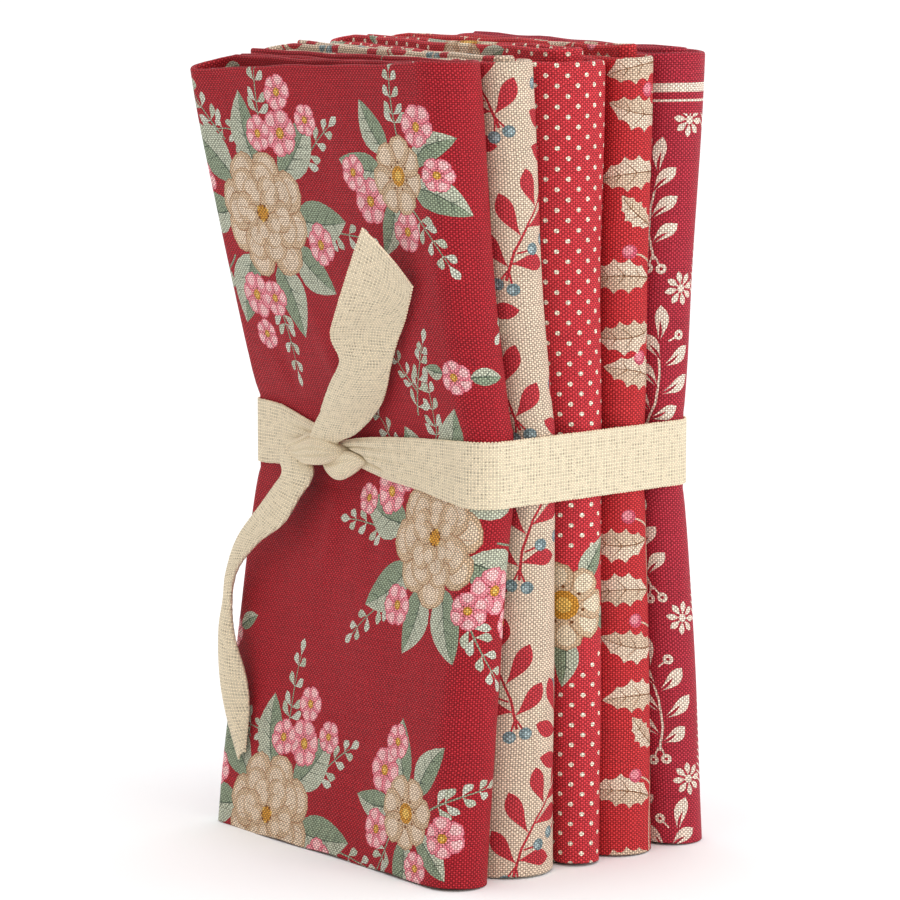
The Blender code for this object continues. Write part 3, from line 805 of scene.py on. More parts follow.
# Which part of each cut can be seen, as (first s, last s, first t, last t): the print is cut into the cloth
# there.
TOPS = (0.0, 500.0, 232.0, 268.0)
SPINE = (336.0, 404.0, 0.0, 262.0)
LOOP = (222.0, 254.0, 0.0, 262.0)
ENDS = ((0.0, 14.0, 0.0, 262.0), (486.0, 500.0, 0.0, 262.0))
Print = namedtuple("Print", "ground draw seen")
PRINTS = (
    Print("crimson_ground", garden_print, (TOPS, (222.0, 404.0, 0.0, 262.0), *ENDS)),
    Print("beige_ground", sprig_print, (TOPS, SPINE, LOOP, *ENDS)),
    Print("scarlet_ground", dot_print, (TOPS, SPINE, LOOP, *ENDS)),
    Print("red_ground", leaf_print, (TOPS, SPINE, LOOP, *ENDS)),
    Print("wine_ground", folk_print, (TOPS, (336.0, 500.0, 0.0, 262.0), LOOP, ENDS[0])),
)


def covered(outline, places):
    """Which places lie inside an outline."""
    ax, ay = outline.T
    bx, by = np.roll(ax, -1), np.roll(ay, -1)
    x, y = places[:, :1], places[:, 1:]
    rise = by - ay
    crossing = (ay > y) != (by > y)
    at = ax + (y - ay) * (bx - ax) / np.where(rise == 0, 1, rise)
    return np.where(crossing & (x < at), np.sign(rise), 0).sum(axis=1) != 0


def in_sight(shape, windows):
    """Whether a shape reaches into a window of the cut that can be seen."""
    xs = [p[0] for p in shape.outline]
    ys = [p[1] for p in shape.outline]
    return any(max(xs) > a and min(xs) < b and max(ys) > c and min(ys) < d for a, b, c, d in windows)


def close_lines(places):
    """The places that stand close to a neighbour: lines where the cloth bends, which no triangle crosses."""
    steps = np.diff(places)
    near = np.minimum(np.append(steps, np.inf), np.insert(steps, 0, np.inf)) < CLOSE_STEP
    return set(places[near])


def cut_cloth(shapes, ground, columns, rows, rim=()):
    """Triangles of the flat cut, parted along the printed shapes: points, triangles and each triangle's ink.

    The cut is worked in small tiles, because the triangulation slows steeply with its size. A triangle takes
    the ink of the topmost shape that covers its middle.
    """
    columns, rows = np.array(columns), np.array(rows)
    close_columns, close_rows = close_lines(columns), close_lines(rows)
    outlines = [np.array(shape.outline) for shape in shapes]
    lows = np.array([outline.min(axis=0) for outline in outlines]).reshape(-1, 2)
    highs = np.array([outline.max(axis=0) for outline in outlines]).reshape(-1, 2)
    rim = np.array(rim).reshape(-1, 2)
    points, triangles, inks = [], [], []
    tiles = int(CLOTH_SIDE / TILE)
    slack = 1e-6
    for i in range(tiles):
        x0, x1 = i * TILE, (i + 1) * TILE
        tile_columns = columns[(columns >= x0 - slack) & (columns <= x1 + slack)]
        for j in range(tiles):
            y0, y1 = j * TILE, (j + 1) * TILE
            tile_rows = rows[(rows >= y0 - slack) & (rows <= y1 + slack)]
            verts = [Vector(p) for p in ((x0, y0), (x1, y0), (x1, y1), (x0, y1))]
            verts += [Vector((x, y)) for x in tile_columns for y in tile_rows]
            near = np.all((rim >= (x0 - slack, y0 - slack)) & (rim <= (x1 + slack, y1 + slack)), axis=1)
            verts += [Vector(p) for p in rim[near]]
            edges = [(0, 1), (1, 2), (2, 3), (3, 0)]
            across, up = len(tile_columns), len(tile_rows)
            foot = [4 + a * up for a in range(across) if tile_columns[a] in close_columns]
            edges += [(v + b, v + b + 1) for v in foot for b in range(up - 1)]
            side = [4 + b for b in range(up) if tile_rows[b] in close_rows]
            edges += [(v + a * up, v + (a + 1) * up) for v in side for a in range(across - 1)]
            hit = np.nonzero(np.all((lows < (x1, y1)) & (highs > (x0, y0)), axis=1))[0]
            for k in hit:
                first, count = len(verts), len(outlines[k])
                verts += [Vector(p) for p in outlines[k]]
                edges += [(first + n, first + (n + 1) % count) for n in range(count)]
            out_verts, _, out_faces, _, _, _ = delaunay_2d_cdt(verts, edges, [], 0, 1e-5, False)
            places = np.array(out_verts)
            faces = np.array(out_faces)
            middles = places[faces].mean(axis=1)
            inside = np.all((middles > (x0, y0)) & (middles < (x1, y1)), axis=1)
            faces, middles = faces[inside], middles[inside]
            ink = np.full(len(faces), ground)
            for k in hit:
                ink[covered(outlines[k], middles)] = INK_ORDER.index(shapes[k].ink)
            triangles += (faces + len(points)).tolist()
            inks += ink.tolist()
            points += places.tolist()
    return np.array(points), triangles, inks


def joined(points, triangles, inks):
    """The tiles as one flat mesh without doubled points."""
    bm = bmesh.new()
    layer = bm.faces.layers.int.new("ink")
    verts = [bm.verts.new((x, y, 0)) for x, y in points]
    for triangle, ink in zip(triangles, inks):
        if len(set(triangle)) == 3:
            face = bm.faces.new([verts[v] for v in triangle])
            face[layer] = ink
    bmesh.ops.remove_doubles(bm, verts=bm.verts, dist=WELD)
    loose = [v for v in bm.verts if not v.link_faces]
    bmesh.ops.delete(bm, geom=loose, context="VERTS")
    bm.verts.index_update()
    flat = np.array([(v.co.x, v.co.y) for v in bm.verts])
    faces = [[v.index for v in f.verts] for f in bm.faces]
    face_inks = [f[layer] for f in bm.faces]
    rim = [(e.link_loops[0].vert.index, e.link_loops[0].link_loop_next.vert.index)
           for e in bm.edges if len(e.link_faces) == 1]
    bm.free()
    return flat, faces, face_inks, rim


def hex_to_linear(code):
    """An sRGB hex colour as linear red, green and blue."""
    channels = [int(code[i:i + 2], 16) / 255 for i in (1, 3, 5)]
    return tuple(c / 12.92 if c <= 0.04045 else ((c + 0.055) / 1.055) ** 2.4 for c in channels)


def mesh_object(name, places, faces, material_slots, face_slots=None):
    """A mesh object at the origin from places in millimetres."""
    mesh = bpy.data.meshes.new(name)
    mesh.from_pydata((np.asarray(places) * MM).tolist(), [], faces)
    for material in material_slots:
        mesh.materials.append(material)
    if face_slots is not None:
        mesh.polygons.foreach_set("material_index", face_slots)
    mesh.shade_smooth()
    obj = bpy.data.objects.new(name, mesh)
    bpy.context.scene.collection.objects.link(obj)
    return obj


BAKE_SHARE = 0.94           # how much of the bake's square the printed side fills; the reverse has the rest
BAKE_GAP = 0.01


def make_quarter(index, settings, materials):
    """One printed cut, folded: a thin closed sheet with its print cut into the printed side."""
    quarter, design = QUARTERS[index], PRINTS[index]
    rng = random.Random(7 + index)
    sheet = FoldedSheet(index)
    columns, rows = sheet.lattice()
    shapes = [shape for shape in design.draw(rng) if in_sight(shape, design.seen)]
    flat, faces, inks, rim = joined(*cut_cloth(shapes, INK_ORDER.index(design.ground), columns, rows))
    rim_points = flat[sorted({v for edge in rim for v in edge})]
    back_flat, back_faces, _, _ = joined(*cut_cloth([], 0, columns, rows, rim_points))
    keys = {(round(x, 2), round(y, 2)): i for i, (x, y) in enumerate(back_flat)}
    partner = {}
    for v in {v for edge in rim for v in edge}:
        x, y = flat[v]
        near = np.argmin((back_flat[:, 0] - x) ** 2 + (back_flat[:, 1] - y) ** 2)
        partner[v] = keys.get((round(x, 2), round(y, 2)), int(near))
    half = settings.cloth_thickness / MM / 2
    front = sheet.place(*flat.T, half)
    back = sheet.place(*back_flat.T, -half)
    count = len(front)
    polygons = list(faces)
    polygons += [[count + v for v in reversed(face)] for face in back_faces]
    for a, b in rim:
        quad = [b, a, count + partner[a], count + partner[b]]
        polygons.append(quad if len(set(quad)) == 4 else sorted(set(quad), key=quad.index))
    polygons = [p for p in polygons if len(p) > 2]
    slots = [0] * len(faces) + [1] * (len(polygons) - len(faces))
    obj = mesh_object(quarter.name + "_cloth", np.concatenate((front, back)), polygons, materials, slots)
    mesh = obj.data
    colours = np.array([(*hex_to_linear(INKS[name]), 1.0) for name in INK_ORDER])
    face_ink = np.array(inks + [INK_ORDER.index(design.ground)] * (len(polygons) - len(faces)))
    totals = np.zeros(len(polygons), dtype=int)
    mesh.polygons.foreach_get("loop_total", totals)
    corner_ink = np.repeat(face_ink, totals)
    layer = mesh.color_attributes.new("print", "FLOAT_COLOR", "CORNER")
    layer.data.foreach_set("color", colours[corner_ink].ravel())
    corner_vert = np.zeros(len(mesh.loops), dtype=int)
    mesh.loops.foreach_get("vertex_index", corner_vert)
    all_flat = np.concatenate((flat, back_flat))[corner_vert]
    weave = mesh.uv_layers.new(name="flat_cloth")
    weave.data.foreach_set("uv", (all_flat * MM).ravel())
    bake = mesh.uv_layers.new(name="OFBake")
    share = all_flat / CLOTH_SIDE
    on_front = np.repeat(np.arange(len(polygons)) < len(faces), totals)
    share[on_front] *= BAKE_SHARE
    corner = (BAKE_SHARE + BAKE_GAP, BAKE_GAP)
    share[~on_front] = share[~on_front] * (1 - BAKE_SHARE - 2 * BAKE_GAP) + corner
    bake.data.foreach_set("uv", share.ravel())
    normals = np.concatenate((sheet.normals(*flat.T), -sheet.normals(*back_flat.T)))
    mesh.normals_split_custom_set_from_vertices(normals.tolist())
    return obj


# --------------------------------------------------------------------------------------------------
# The tape
# --------------------------------------------------------------------------------------------------
STRIP_STEP = 1.0
STRIP_COLUMNS = 29
BAND_PLEATS = 4
PLEAT_RISE = 1.2            # where the band is gathered fully
VALLEY_DEPTH = 0.22         # how far the band sinks between two spines
VALLEY_REACH = 3.2
STEP_WIDTH = 1.4            # over which the band steps up at its ridge
END_PLEATS = 5
END_PLEAT_RISE = 0.45       # at the knot; the pleats die out with the fade's length
END_PLEAT_FADE = 9.0
TURNED_DEPTH = 1.15         # how far the turned part lies behind the part that shows
TURNED_BEND = 0.8
KNOT_SIDES = 48
KNOT_PLEAT = 0.19           # a share of the fold's swell
FACE_OUT = np.array((-0.1, -1.0, 0.0))      # out of the wide face, across the waist


def convex_hull(points):
    """The convex outline of plan points, anticlockwise seen from above."""

    def chain(ordered):
        kept = []
        for point in ordered:
            while len(kept) > 1:
                (ax, ay), (bx, by) = kept[-2], kept[-1]
                if (bx - ax) * (point[1] - ay) - (by - ay) * (point[0] - ax) > 1e-6:
                    break
                kept.pop()
            kept.append(point)
        return kept[:-1]

    ordered = sorted(set(points))
    return chain(ordered) + chain(ordered[::-1])


def resampled(line, step):
    """Rows of a polyline at even steps of its length."""
    line = np.asarray(line, dtype=float)
    length = np.concatenate(([0.0], np.cumsum(np.linalg.norm(np.diff(line[:, :3], axis=0), axis=1))))
    count = max(2, int(round(length[-1] / step)) + 1)
    places = np.linspace(0, length[-1], count)
    return np.stack([np.interp(places, length, column) for column in line.T], axis=1)


def spline_rows(rows, steps):
    """Rows of a smooth curve through the given rows."""
    rows = np.asarray(rows, dtype=float)
    out = []
    last = len(rows) - 1
    for i in range(last):
        a, b, c, d = rows[max(i - 1, 0)], rows[i], rows[i + 1], rows[min(i + 2, last)]
        for k in range(steps):
            t = k / steps
            out.append(0.5 * (2 * b + (c - a) * t + (2 * a - 5 * b + 4 * c - d) * t ** 2
                              + (3 * b - a - 3 * c + d) * t ** 3))
    out.append(rows[-1])
    return np.array(out)


def strip_object(name, grid, across, thickness, material):
    """A thin closed strip of tape through a grid of places: rows along it, columns across it.

    across holds each column's distance from the tape's left edge, in millimetres.
    """
    rows, columns, _ = grid.shape
    along = np.gradient(grid, axis=0)
    aside = np.gradient(grid, axis=1)
    normals = np.cross(aside, along)
    normals /= np.maximum(np.linalg.norm(normals, axis=-1, keepdims=True), 1e-9)
    steps = np.linalg.norm(np.diff(grid[:, columns // 2], axis=0), axis=1)
    length = np.concatenate(([0.0], np.cumsum(steps)))
    front, back = grid + normals * thickness / 2, grid - normals * thickness / 2
    places = np.concatenate((front.reshape(-1, 3), back.reshape(-1, 3)))
    flat = np.stack(np.broadcast_arrays(across, length[:, None]), axis=-1).reshape(-1, 2)
    flat = np.concatenate((flat, flat))
    count = rows * columns
    polygons, sides = [], []
    for i in range(rows - 1):
        for j in range(columns - 1):
            a = i * columns + j
            polygons.append((a, a + 1, a + columns + 1, a + columns))
            sides.append(0)
            polygons.append((count + a, count + a + columns, count + a + columns + 1, count + a + 1))
            sides.append(1)
    loop = [(0, j) for j in range(columns)] + [(i, columns - 1) for i in range(1, rows)]
    loop += [(rows - 1, j) for j in range(columns - 2, -1, -1)] + [(i, 0) for i in range(rows - 2, 0, -1)]
    loop = [i * columns + j for i, j in loop]
    for a, b in zip(loop, loop[1:] + loop[:1]):
        polygons.append((b, a, count + a, count + b))
        sides.append(2)
    obj = mesh_object(name, places, polygons, [material])
    mesh = obj.data
    corner_vert = np.zeros(len(mesh.loops), dtype=int)
    mesh.loops.foreach_get("vertex_index", corner_vert)
    weave = mesh.uv_layers.new(name="flat_cloth")
    weave.data.foreach_set("uv", (flat[corner_vert] * MM).ravel())
    mesh.set_sharp_from_angle(angle=math.radians(60))
    return obj


def waist_outline():
    """Where a taut tape lies round the waist: the convex outline of all the leaves there."""
    points = []
    for index in range(len(QUARTERS)):
        rows, _ = fold_path(index, TAPE_MIDDLE)
        step = np.hypot(np.gradient(rows[:, 0]), np.gradient(rows[:, 1]))
        nx, ny = np.gradient(rows[:, 1]) / step, -np.gradient(rows[:, 0]) / step
        for side in (1, -1):
            points += list(zip(rows[:, 0] + side * nx * LEAF / 2, rows[:, 1] + side * ny * LEAF / 2))
    return convex_hull(points)


def band_grid(thickness):
    """The band's places, from the knot along the front to the right, round the stack and back to the knot.

    Between the spines it sinks a little into the valleys.
    """
    stand_off = TAPE_CLEARANCE + thickness / 2
    left, right = BAND_LEFT_OF_KNOT[0].x, BAND_RIGHT_OF_KNOT[-1].x
    outline = [(x, y) for x, y in waist_outline() if y > 0 or not left < x < right]
    first = min(i for i, (x, y) in enumerate(outline) if x > right)
    low, high = TAPE_MIDDLE - TAPE_WIDTH / 2, TAPE_MIDDLE + TAPE_WIDTH / 2
    line = [(row.x, front_y(row.x, TAPE_MIDDLE), 0.0, *row[1:]) for row in BAND_RIGHT_OF_KNOT]
    line += [(x, y, 0.0, low, high, 0.0, low, 0.0) for x, y in outline[first:] + outline[:first]]
    line += [(row.x, front_y(row.x, TAPE_MIDDLE), 0.0, *row[1:]) for row in BAND_LEFT_OF_KNOT]
    line = resampled(line, STRIP_STEP)
    for _ in range(2):
        line[1:-1] = (line[:-2] + 2 * line[1:-1] + line[2:]) / 4
    tangent = np.gradient(line[:, :2], axis=0)
    tangent /= np.linalg.norm(tangent, axis=1, keepdims=True)
    out = np.stack((tangent[:, 1], -tangent[:, 0]), axis=1)
    valleys = np.zeros(len(line))
    for plane in PLANES[1:-1]:
        beside = (line[:, 1] - plane.spine_waist) / VALLEY_REACH
        valleys += np.where(line[:, 0] > WIDTH / 2 - 6, VALLEY_DEPTH * np.exp(-beside ** 2), 0)
    across = np.linspace(0, 1, STRIP_COLUMNS)[None, :]
    low, high, gather, ridge, step = line.T[3:8, :, None]
    z = low + (high - low) * across
    pleat = gather * np.abs(np.sin(math.pi * across * BAND_PLEATS + 0.3)) * PLEAT_RISE
    lift = stand_off + pleat - valleys[:, None] + step * smooth((z - ridge) / STEP_WIDTH + 0.5)
    x = line[:, 0:1] + out[:, 0:1] * lift
    y = line[:, 1:2] + out[:, 1:2] * lift
    grid = np.stack((x, y, np.broadcast_to(z, x.shape)), axis=-1)
    return grid, np.broadcast_to(across * TAPE_WIDTH, x.shape)


def tail_grid(rows):
    """A free end's places: the part that shows, and what is turned under along its right edge. Where it
    leaves the knot it is pleated."""
    lines = spline_rows(rows, 10)
    samples = []
    for left_x, left_off, left_z, right_x, right_off, right_z, bulge, turned in lines:
        samples.append((left_x, front_y(left_x, left_z) - left_off, left_z,
                        right_x, front_y(right_x, right_z) - right_off, right_z, bulge, turned))
    samples = np.array(samples)
    middle = (samples[:, 0:3] + samples[:, 3:6]) / 2
    samples = resampled(np.hstack((middle, samples)), STRIP_STEP)[:, 3:]
    left, right = samples[:, 0:3], samples[:, 3:6]
    along = np.gradient((left + right) / 2, axis=0)
    out = np.cross(along, right - left)
    out /= np.linalg.norm(out, axis=1, keepdims=True)
    out[out[:, 1] > 0] *= -1
    grid = np.zeros((len(samples), STRIP_COLUMNS, 3))
    across = np.zeros((len(samples), STRIP_COLUMNS))
    for i, row in enumerate(samples):
        bulge, turned = row[6], max(row[7], 0.0)
        width = np.linalg.norm(right[i] - left[i])
        total = width + turned
        pleat = END_PLEAT_RISE * math.exp(-i * STRIP_STEP / END_PLEAT_FADE)
        for j in range(STRIP_COLUMNS):
            place = total * j / (STRIP_COLUMNS - 1)
            across[i, j] = place
            if place <= width:
                share = place / width
                lift = pleat * math.sin(END_PLEATS * math.pi * share) ** 2
            else:
                share = 1 - (place - width) / width
                lift = -TURNED_DEPTH * min(1.0, (place - width) / TURNED_BEND)
            rise = bulge * 4 * share * (1 - share) + lift
            grid[i, j] = left[i] + (right[i] - left[i]) * share + out[i] * rise
    return grid, across


def knot_fold_rings(fold):
    """Rings round one gathered fold of the knot, pleated where it swells out, down to the stack behind."""
    turns = np.linspace(0, 2 * math.pi, KNOT_SIDES + 1)[:-1]
    rings = []
    for i, (upper_x, upper_z, lower_x, lower_z, off, swell) in enumerate(spline_rows(fold.rows, 6)):
        upper = np.array((upper_x, front_y(upper_x, upper_z) - off, upper_z))
        lower = np.array((lower_x, front_y(lower_x, lower_z) - off, lower_z))
        across, lift = np.cos(turns)[:, None], np.sin(turns)[:, None]
        pleat = 1 + KNOT_PLEAT * np.cos(fold.pleats * math.pi * across + 0.9 * math.sin(0.16 * i))
        depth = np.where(lift > 0, swell * pleat, off - 0.8)
        rings.append((upper + lower) / 2 + (upper - lower) / 2 * across + FACE_OUT * lift * depth)
    return np.array(rings)


def tube_object(name, rings, material):
    """A closed tube through rings of places, with its ends drawn in."""
    count, around, _ = rings.shape
    places = list(rings.reshape(-1, 3))
    polygons = []
    for i in range(count - 1):
        for j in range(around):
            k = (j + 1) % around
            polygons.append((i * around + j, i * around + k, (i + 1) * around + k, (i + 1) * around + j))
    for ring, order in ((0, 1), (count - 1, -1)):
        centre = len(places)
        places.append(rings[ring].mean(axis=0))
        for j in range(around):
            pair = (ring * around + (j + 1) % around, ring * around + j)
            polygons.append((centre, *pair[::order]))
    obj = mesh_object(name, np.array(places), polygons, [material])
    bm = bmesh.new()
    bm.from_mesh(obj.data)
    bmesh.ops.recalc_face_normals(bm, faces=bm.faces)
    girth = np.linalg.norm(np.diff(rings, axis=1, append=rings[:, :1]), axis=2)
    round_ = np.hstack((np.zeros((count, 1)), np.cumsum(girth, axis=1)))
    stride = np.linalg.norm(np.diff(rings.mean(axis=1), axis=0), axis=1)
    length = np.concatenate(([0.0], np.cumsum(stride), [0.0]))
    layer = bm.loops.layers.uv.new("flat_cloth")
    for face in bm.faces:
        closing = any(corner.vert.index % around == around - 1 for corner in face.loops)
        for corner in face.loops:
            ring, step = divmod(corner.vert.index, around)
            step = around if step == 0 and closing else step
            corner[layer].uv = (round_[min(ring, count - 1), step] * MM, length[ring] * MM)
    bm.to_mesh(obj.data)
    bm.free()
    return obj


def selvedge_tree():
    """Geometry nodes that set beads of yarn along a tape's edges."""
    tree = bpy.data.node_groups.new("tape_selvedge", "GeometryNodeTree")
    for name, kind in (("Geometry", "Geometry"), ("Pitch", "Float"), ("Bead Radius", "Float"),
                       ("Seed", "Int"), ("Material", "Material")):
        tree.interface.new_socket(name, in_out="INPUT", socket_type="NodeSocket" + kind)
    tree.interface.new_socket("Geometry", in_out="OUTPUT", socket_type="NodeSocketGeometry")
    start = node(tree, "NodeGroupInput").outputs
    points = node(tree, "GeometryNodeCurveToPoints", {"Curve": start["Geometry"], "Length": start["Pitch"]},
                  mode="LENGTH")
    bead = node(tree, "GeometryNodeMeshIcoSphere", {"Radius": start["Bead Radius"], "Subdivisions": 1})
    smallest, largest = (0.62, 0.62, 0.85), (0.9, 0.9, 1.1)
    size = node(tree, "FunctionNodeRandomValue", {0: smallest, 1: largest, "Seed": start["Seed"]},
                data_type="FLOAT_VECTOR")
    beads = node(tree, "GeometryNodeInstanceOnPoints", {
        "Points": points.outputs["Points"], "Instance": bead.outputs["Mesh"],
        "Rotation": points.outputs["Rotation"], "Scale": size.outputs["Value"]})
    real = node(tree, "GeometryNodeRealizeInstances", {"Geometry": beads.outputs["Instances"]})
    shaded = node(tree, "GeometryNodeSetMaterial", {"Geometry": real.outputs["Geometry"],
                                                    "Material": start["Material"]})
    node(tree, "NodeGroupOutput", {"Geometry": shaded.outputs["Geometry"]})
    return tree


def beaded_edges(name, lines, values):
    """Beads along lines of places in millimetres, as one plain mesh object."""
    curve = bpy.data.curves.new(name + "_lines", "CURVE")
    curve.dimensions = "3D"
    for line in lines:
        spline = curve.splines.new("POLY")
        spline.points.add(len(line) - 1)
        spline.points.foreach_set("co", np.hstack((line * MM, np.ones((len(line), 1)))).ravel())
    carrier = bpy.data.objects.new(name + "_lines", curve)
    bpy.context.scene.collection.objects.link(carrier)
    tree = selvedge_tree()
    modifier = carrier.modifiers.new("selvedge", "NODES")
    modifier.node_group = tree
    for item in tree.interface.items_tree:
        if item.in_out == "INPUT" and item.name in values:
            modifier[item.identifier] = values[item.name]
    evaluated = carrier.evaluated_get(bpy.context.evaluated_depsgraph_get())
    mesh = bpy.data.meshes.new_from_object(evaluated)
    bpy.data.objects.remove(carrier)
    mesh.name = name
    mesh.shade_smooth()
    obj = bpy.data.objects.new(name, mesh)
    bpy.context.scene.collection.objects.link(obj)
    return obj


# --------------------------------------------------------------------------------------------------
# Materials
# --------------------------------------------------------------------------------------------------
def node(tree, kind, inputs=None, **settings):
    """Add a node, set its settings, and set or link its inputs."""
    made = tree.nodes.new(kind)
    for name, value in settings.items():
        setattr(made, name, value)
    for name, value in (inputs or {}).items():
        if isinstance(value, bpy.types.NodeSocket):
            tree.links.new(value, made.inputs[name])
        else:
            made.inputs[name].default_value = value
    return made


WANDERS_PER_METRE = 110.0   # a thread drifts aside and back within about 9 mm
PINHOLE_PATCH = 2.5         # open and shut pinholes come in patches about this wide
PRINT_STREAK = 0.08         # how unevenly the threads take colour
TAPE_STREAK = 0.035


def weave_nodes(tree, pitch, closer=0.87):
    """A plain weave on the flat cloth: its place, and how high the thread on top stands, 0 to 1.

    Crosswise threads lie closer than lengthwise ones, and none of them runs quite true.
    """
    flat = node(tree, "ShaderNodeUVMap", uv_map="flat_cloth").outputs["UV"]
    drift = node(tree, "ShaderNodeTexNoise", {"Vector": flat, "Scale": WANDERS_PER_METRE, "Detail": 1.0})
    true = node(tree, "ShaderNodeVectorMath", {0: drift.outputs["Color"], 1: (pitch, pitch, 0), 2: flat},
                operation="MULTIPLY_ADD")
    axes = node(tree, "ShaderNodeSeparateXYZ", {"Vector": true.outputs[0]})
    waves, crowns = [], []
    for axis, spacing in (("X", pitch), ("Y", pitch * closer)):
        turn = node(tree, "ShaderNodeMath", {0: axes.outputs[axis], 1: math.pi / spacing},
                    operation="MULTIPLY")
        waves.append(node(tree, "ShaderNodeMath", {0: turn.outputs[0]}, operation="SINE").outputs[0])
        crowns.append(node(tree, "ShaderNodeMath", {0: waves[-1]}, operation="ABSOLUTE").outputs[0])
    over = node(tree, "ShaderNodeMath", {0: waves[0], 1: waves[1]}, operation="MULTIPLY")
    lengthwise = node(tree, "ShaderNodeMapRange", {
        "Value": over.outputs[0], "From Min": -0.2, "From Max": 0.2})
    both = node(tree, "ShaderNodeMath", {0: crowns[0], 1: crowns[1]}, operation="MULTIPLY")
    lean = node(tree, "ShaderNodeMath", {0: crowns[0], 1: crowns[1]}, operation="SUBTRACT")
    top = node(tree, "ShaderNodeMath", {0: lean.outputs[0], 1: lengthwise.outputs[0], 2: crowns[1]},
               operation="MULTIPLY_ADD")
    height = -0.1
    for part, weight in ((lengthwise, 0.36), (top, 0.42), (both, 0.28)):
        height = node(tree, "ShaderNodeMath", {0: part.outputs[0], 1: weight, 2: height},
                      operation="MULTIPLY_ADD").outputs[0]
    return flat, height


def streak_nodes(tree, flat, pitch, depth):
    """Uneven threads: fine streaks along both ways of the cloth, about 1 on average."""
    tones = []
    for stretch in ((1.0, 0.06, 1.0), (0.06, 1.0, 1.0)):
        place = node(tree, "ShaderNodeVectorMath", {0: flat, 1: [s / pitch for s in stretch]},
                     operation="MULTIPLY")
        noise = node(tree, "ShaderNodeTexNoise", {"Vector": place.outputs[0], "Scale": 0.8, "Detail": 1.0})
        tone = node(tree, "ShaderNodeMapRange", {
            "Value": noise.outputs["Fac"], "From Min": 0.3, "From Max": 0.7,
            "To Min": 1 - depth, "To Max": 1 + depth})
        tones.append(tone.outputs[0])
    return node(tree, "ShaderNodeMath", {0: tones[0], 1: tones[1]}, operation="MULTIPLY").outputs[0]


def new_material(name, roughness, specular):
    """A material with its node tree and its shader."""
    material = bpy.data.materials.new(name)
    material.use_nodes = True
    shader = material.node_tree.nodes["Principled BSDF"]
    shader.inputs["Roughness"].default_value = roughness
    shader.inputs["Specular IOR Level"].default_value = specular
    return material, material.node_tree, shader


def printed_cotton(name, pitch):
    """Quilting cotton, plain woven, printed and pressed: a matt cloth whose ink is darkened by painted shade
    in the gaps between its threads and lightened by painted light on their crowns, where pale fibres and a
    painted sheen are added too."""
    material, tree, shader = new_material(name, 0.65, 0.2)
    ink = node(tree, "ShaderNodeVertexColor", layer_name="print")
    flat, height = weave_nodes(tree, pitch)
    fuzz = node(tree, "ShaderNodeTexNoise", {"Vector": flat, "Scale": 1 / pitch, "Detail": 2.0})
    # The thread relief, made uneven, from which the weave's painted shade and painted light are drawn.
    relief_for_painted_light = node(tree, "ShaderNodeMath", {0: fuzz.outputs["Fac"], 1: 0.5, 2: height}, operation="MULTIPLY_ADD")
    # Painted shade between the threads and painted light on their crowns.
    painted_relief_shading = node(tree, "ShaderNodeMapRange", {
        "Value": relief_for_painted_light.outputs[0], "From Min": 0.35, "From Max": 1.05, "To Min": 0.17, "To Max": 1.5})
    streak = streak_nodes(tree, flat, pitch, PRINT_STREAK)
    tone = node(tree, "ShaderNodeMath", {0: painted_relief_shading.outputs[0], 1: streak}, operation="MULTIPLY")
    # Pale fibres on the thread crowns, partly a painted sheen.
    pale_fibre_and_painted_sheen = node(tree, "ShaderNodeMapRange", {
        "Value": relief_for_painted_light.outputs[0], "From Min": 0.92, "From Max": 1.2, "To Min": 0.0, "To Max": 0.05})
    lit = node(tree, "ShaderNodeVectorMath", {0: ink.outputs["Color"], "Scale": tone.outputs[0]},
               operation="SCALE")
    pale = node(tree, "ShaderNodeVectorMath", {0: hex_to_linear("#F3DCD2"), "Scale": pale_fibre_and_painted_sheen.outputs[0]},
                operation="SCALE")
    colour = node(tree, "ShaderNodeVectorMath", {0: lit.outputs[0], 1: pale.outputs[0]}, operation="ADD")
    tree.links.new(colour.outputs["Vector"], shader.inputs["Base Color"])
    bump = node(tree, "ShaderNodeBump", {"Height": height, "Strength": 0.85, "Distance": 0.0002})
    tree.links.new(bump.outputs["Normal"], shader.inputs["Normal"])
    return material


def cotton_reverse(name, colour, pitch):
    """The unprinted side of the cotton: the ink shows through as a paler tone."""
    material, tree, shader = new_material(name, 0.9, 0.08)
    flat, height = weave_nodes(tree, pitch)
    undyed = hex_to_linear("#EFE6DA")
    pale = [lerp(channel, white, 0.16) for channel, white in zip(hex_to_linear(colour), undyed)]
    # Painted shade between the threads and painted light on their crowns.
    painted_relief_shading = node(tree, "ShaderNodeMapRange", {
        "Value": height, "From Min": 0.1, "From Max": 0.8, "To Min": 0.4, "To Max": 1.2})
    streak = streak_nodes(tree, flat, pitch, PRINT_STREAK)
    tone = node(tree, "ShaderNodeMath", {0: painted_relief_shading.outputs[0], 1: streak}, operation="MULTIPLY")
    shade = node(tree, "ShaderNodeVectorMath", {0: pale, "Scale": tone.outputs[0]}, operation="SCALE")
    tree.links.new(shade.outputs["Vector"], shader.inputs["Base Color"])
    return material


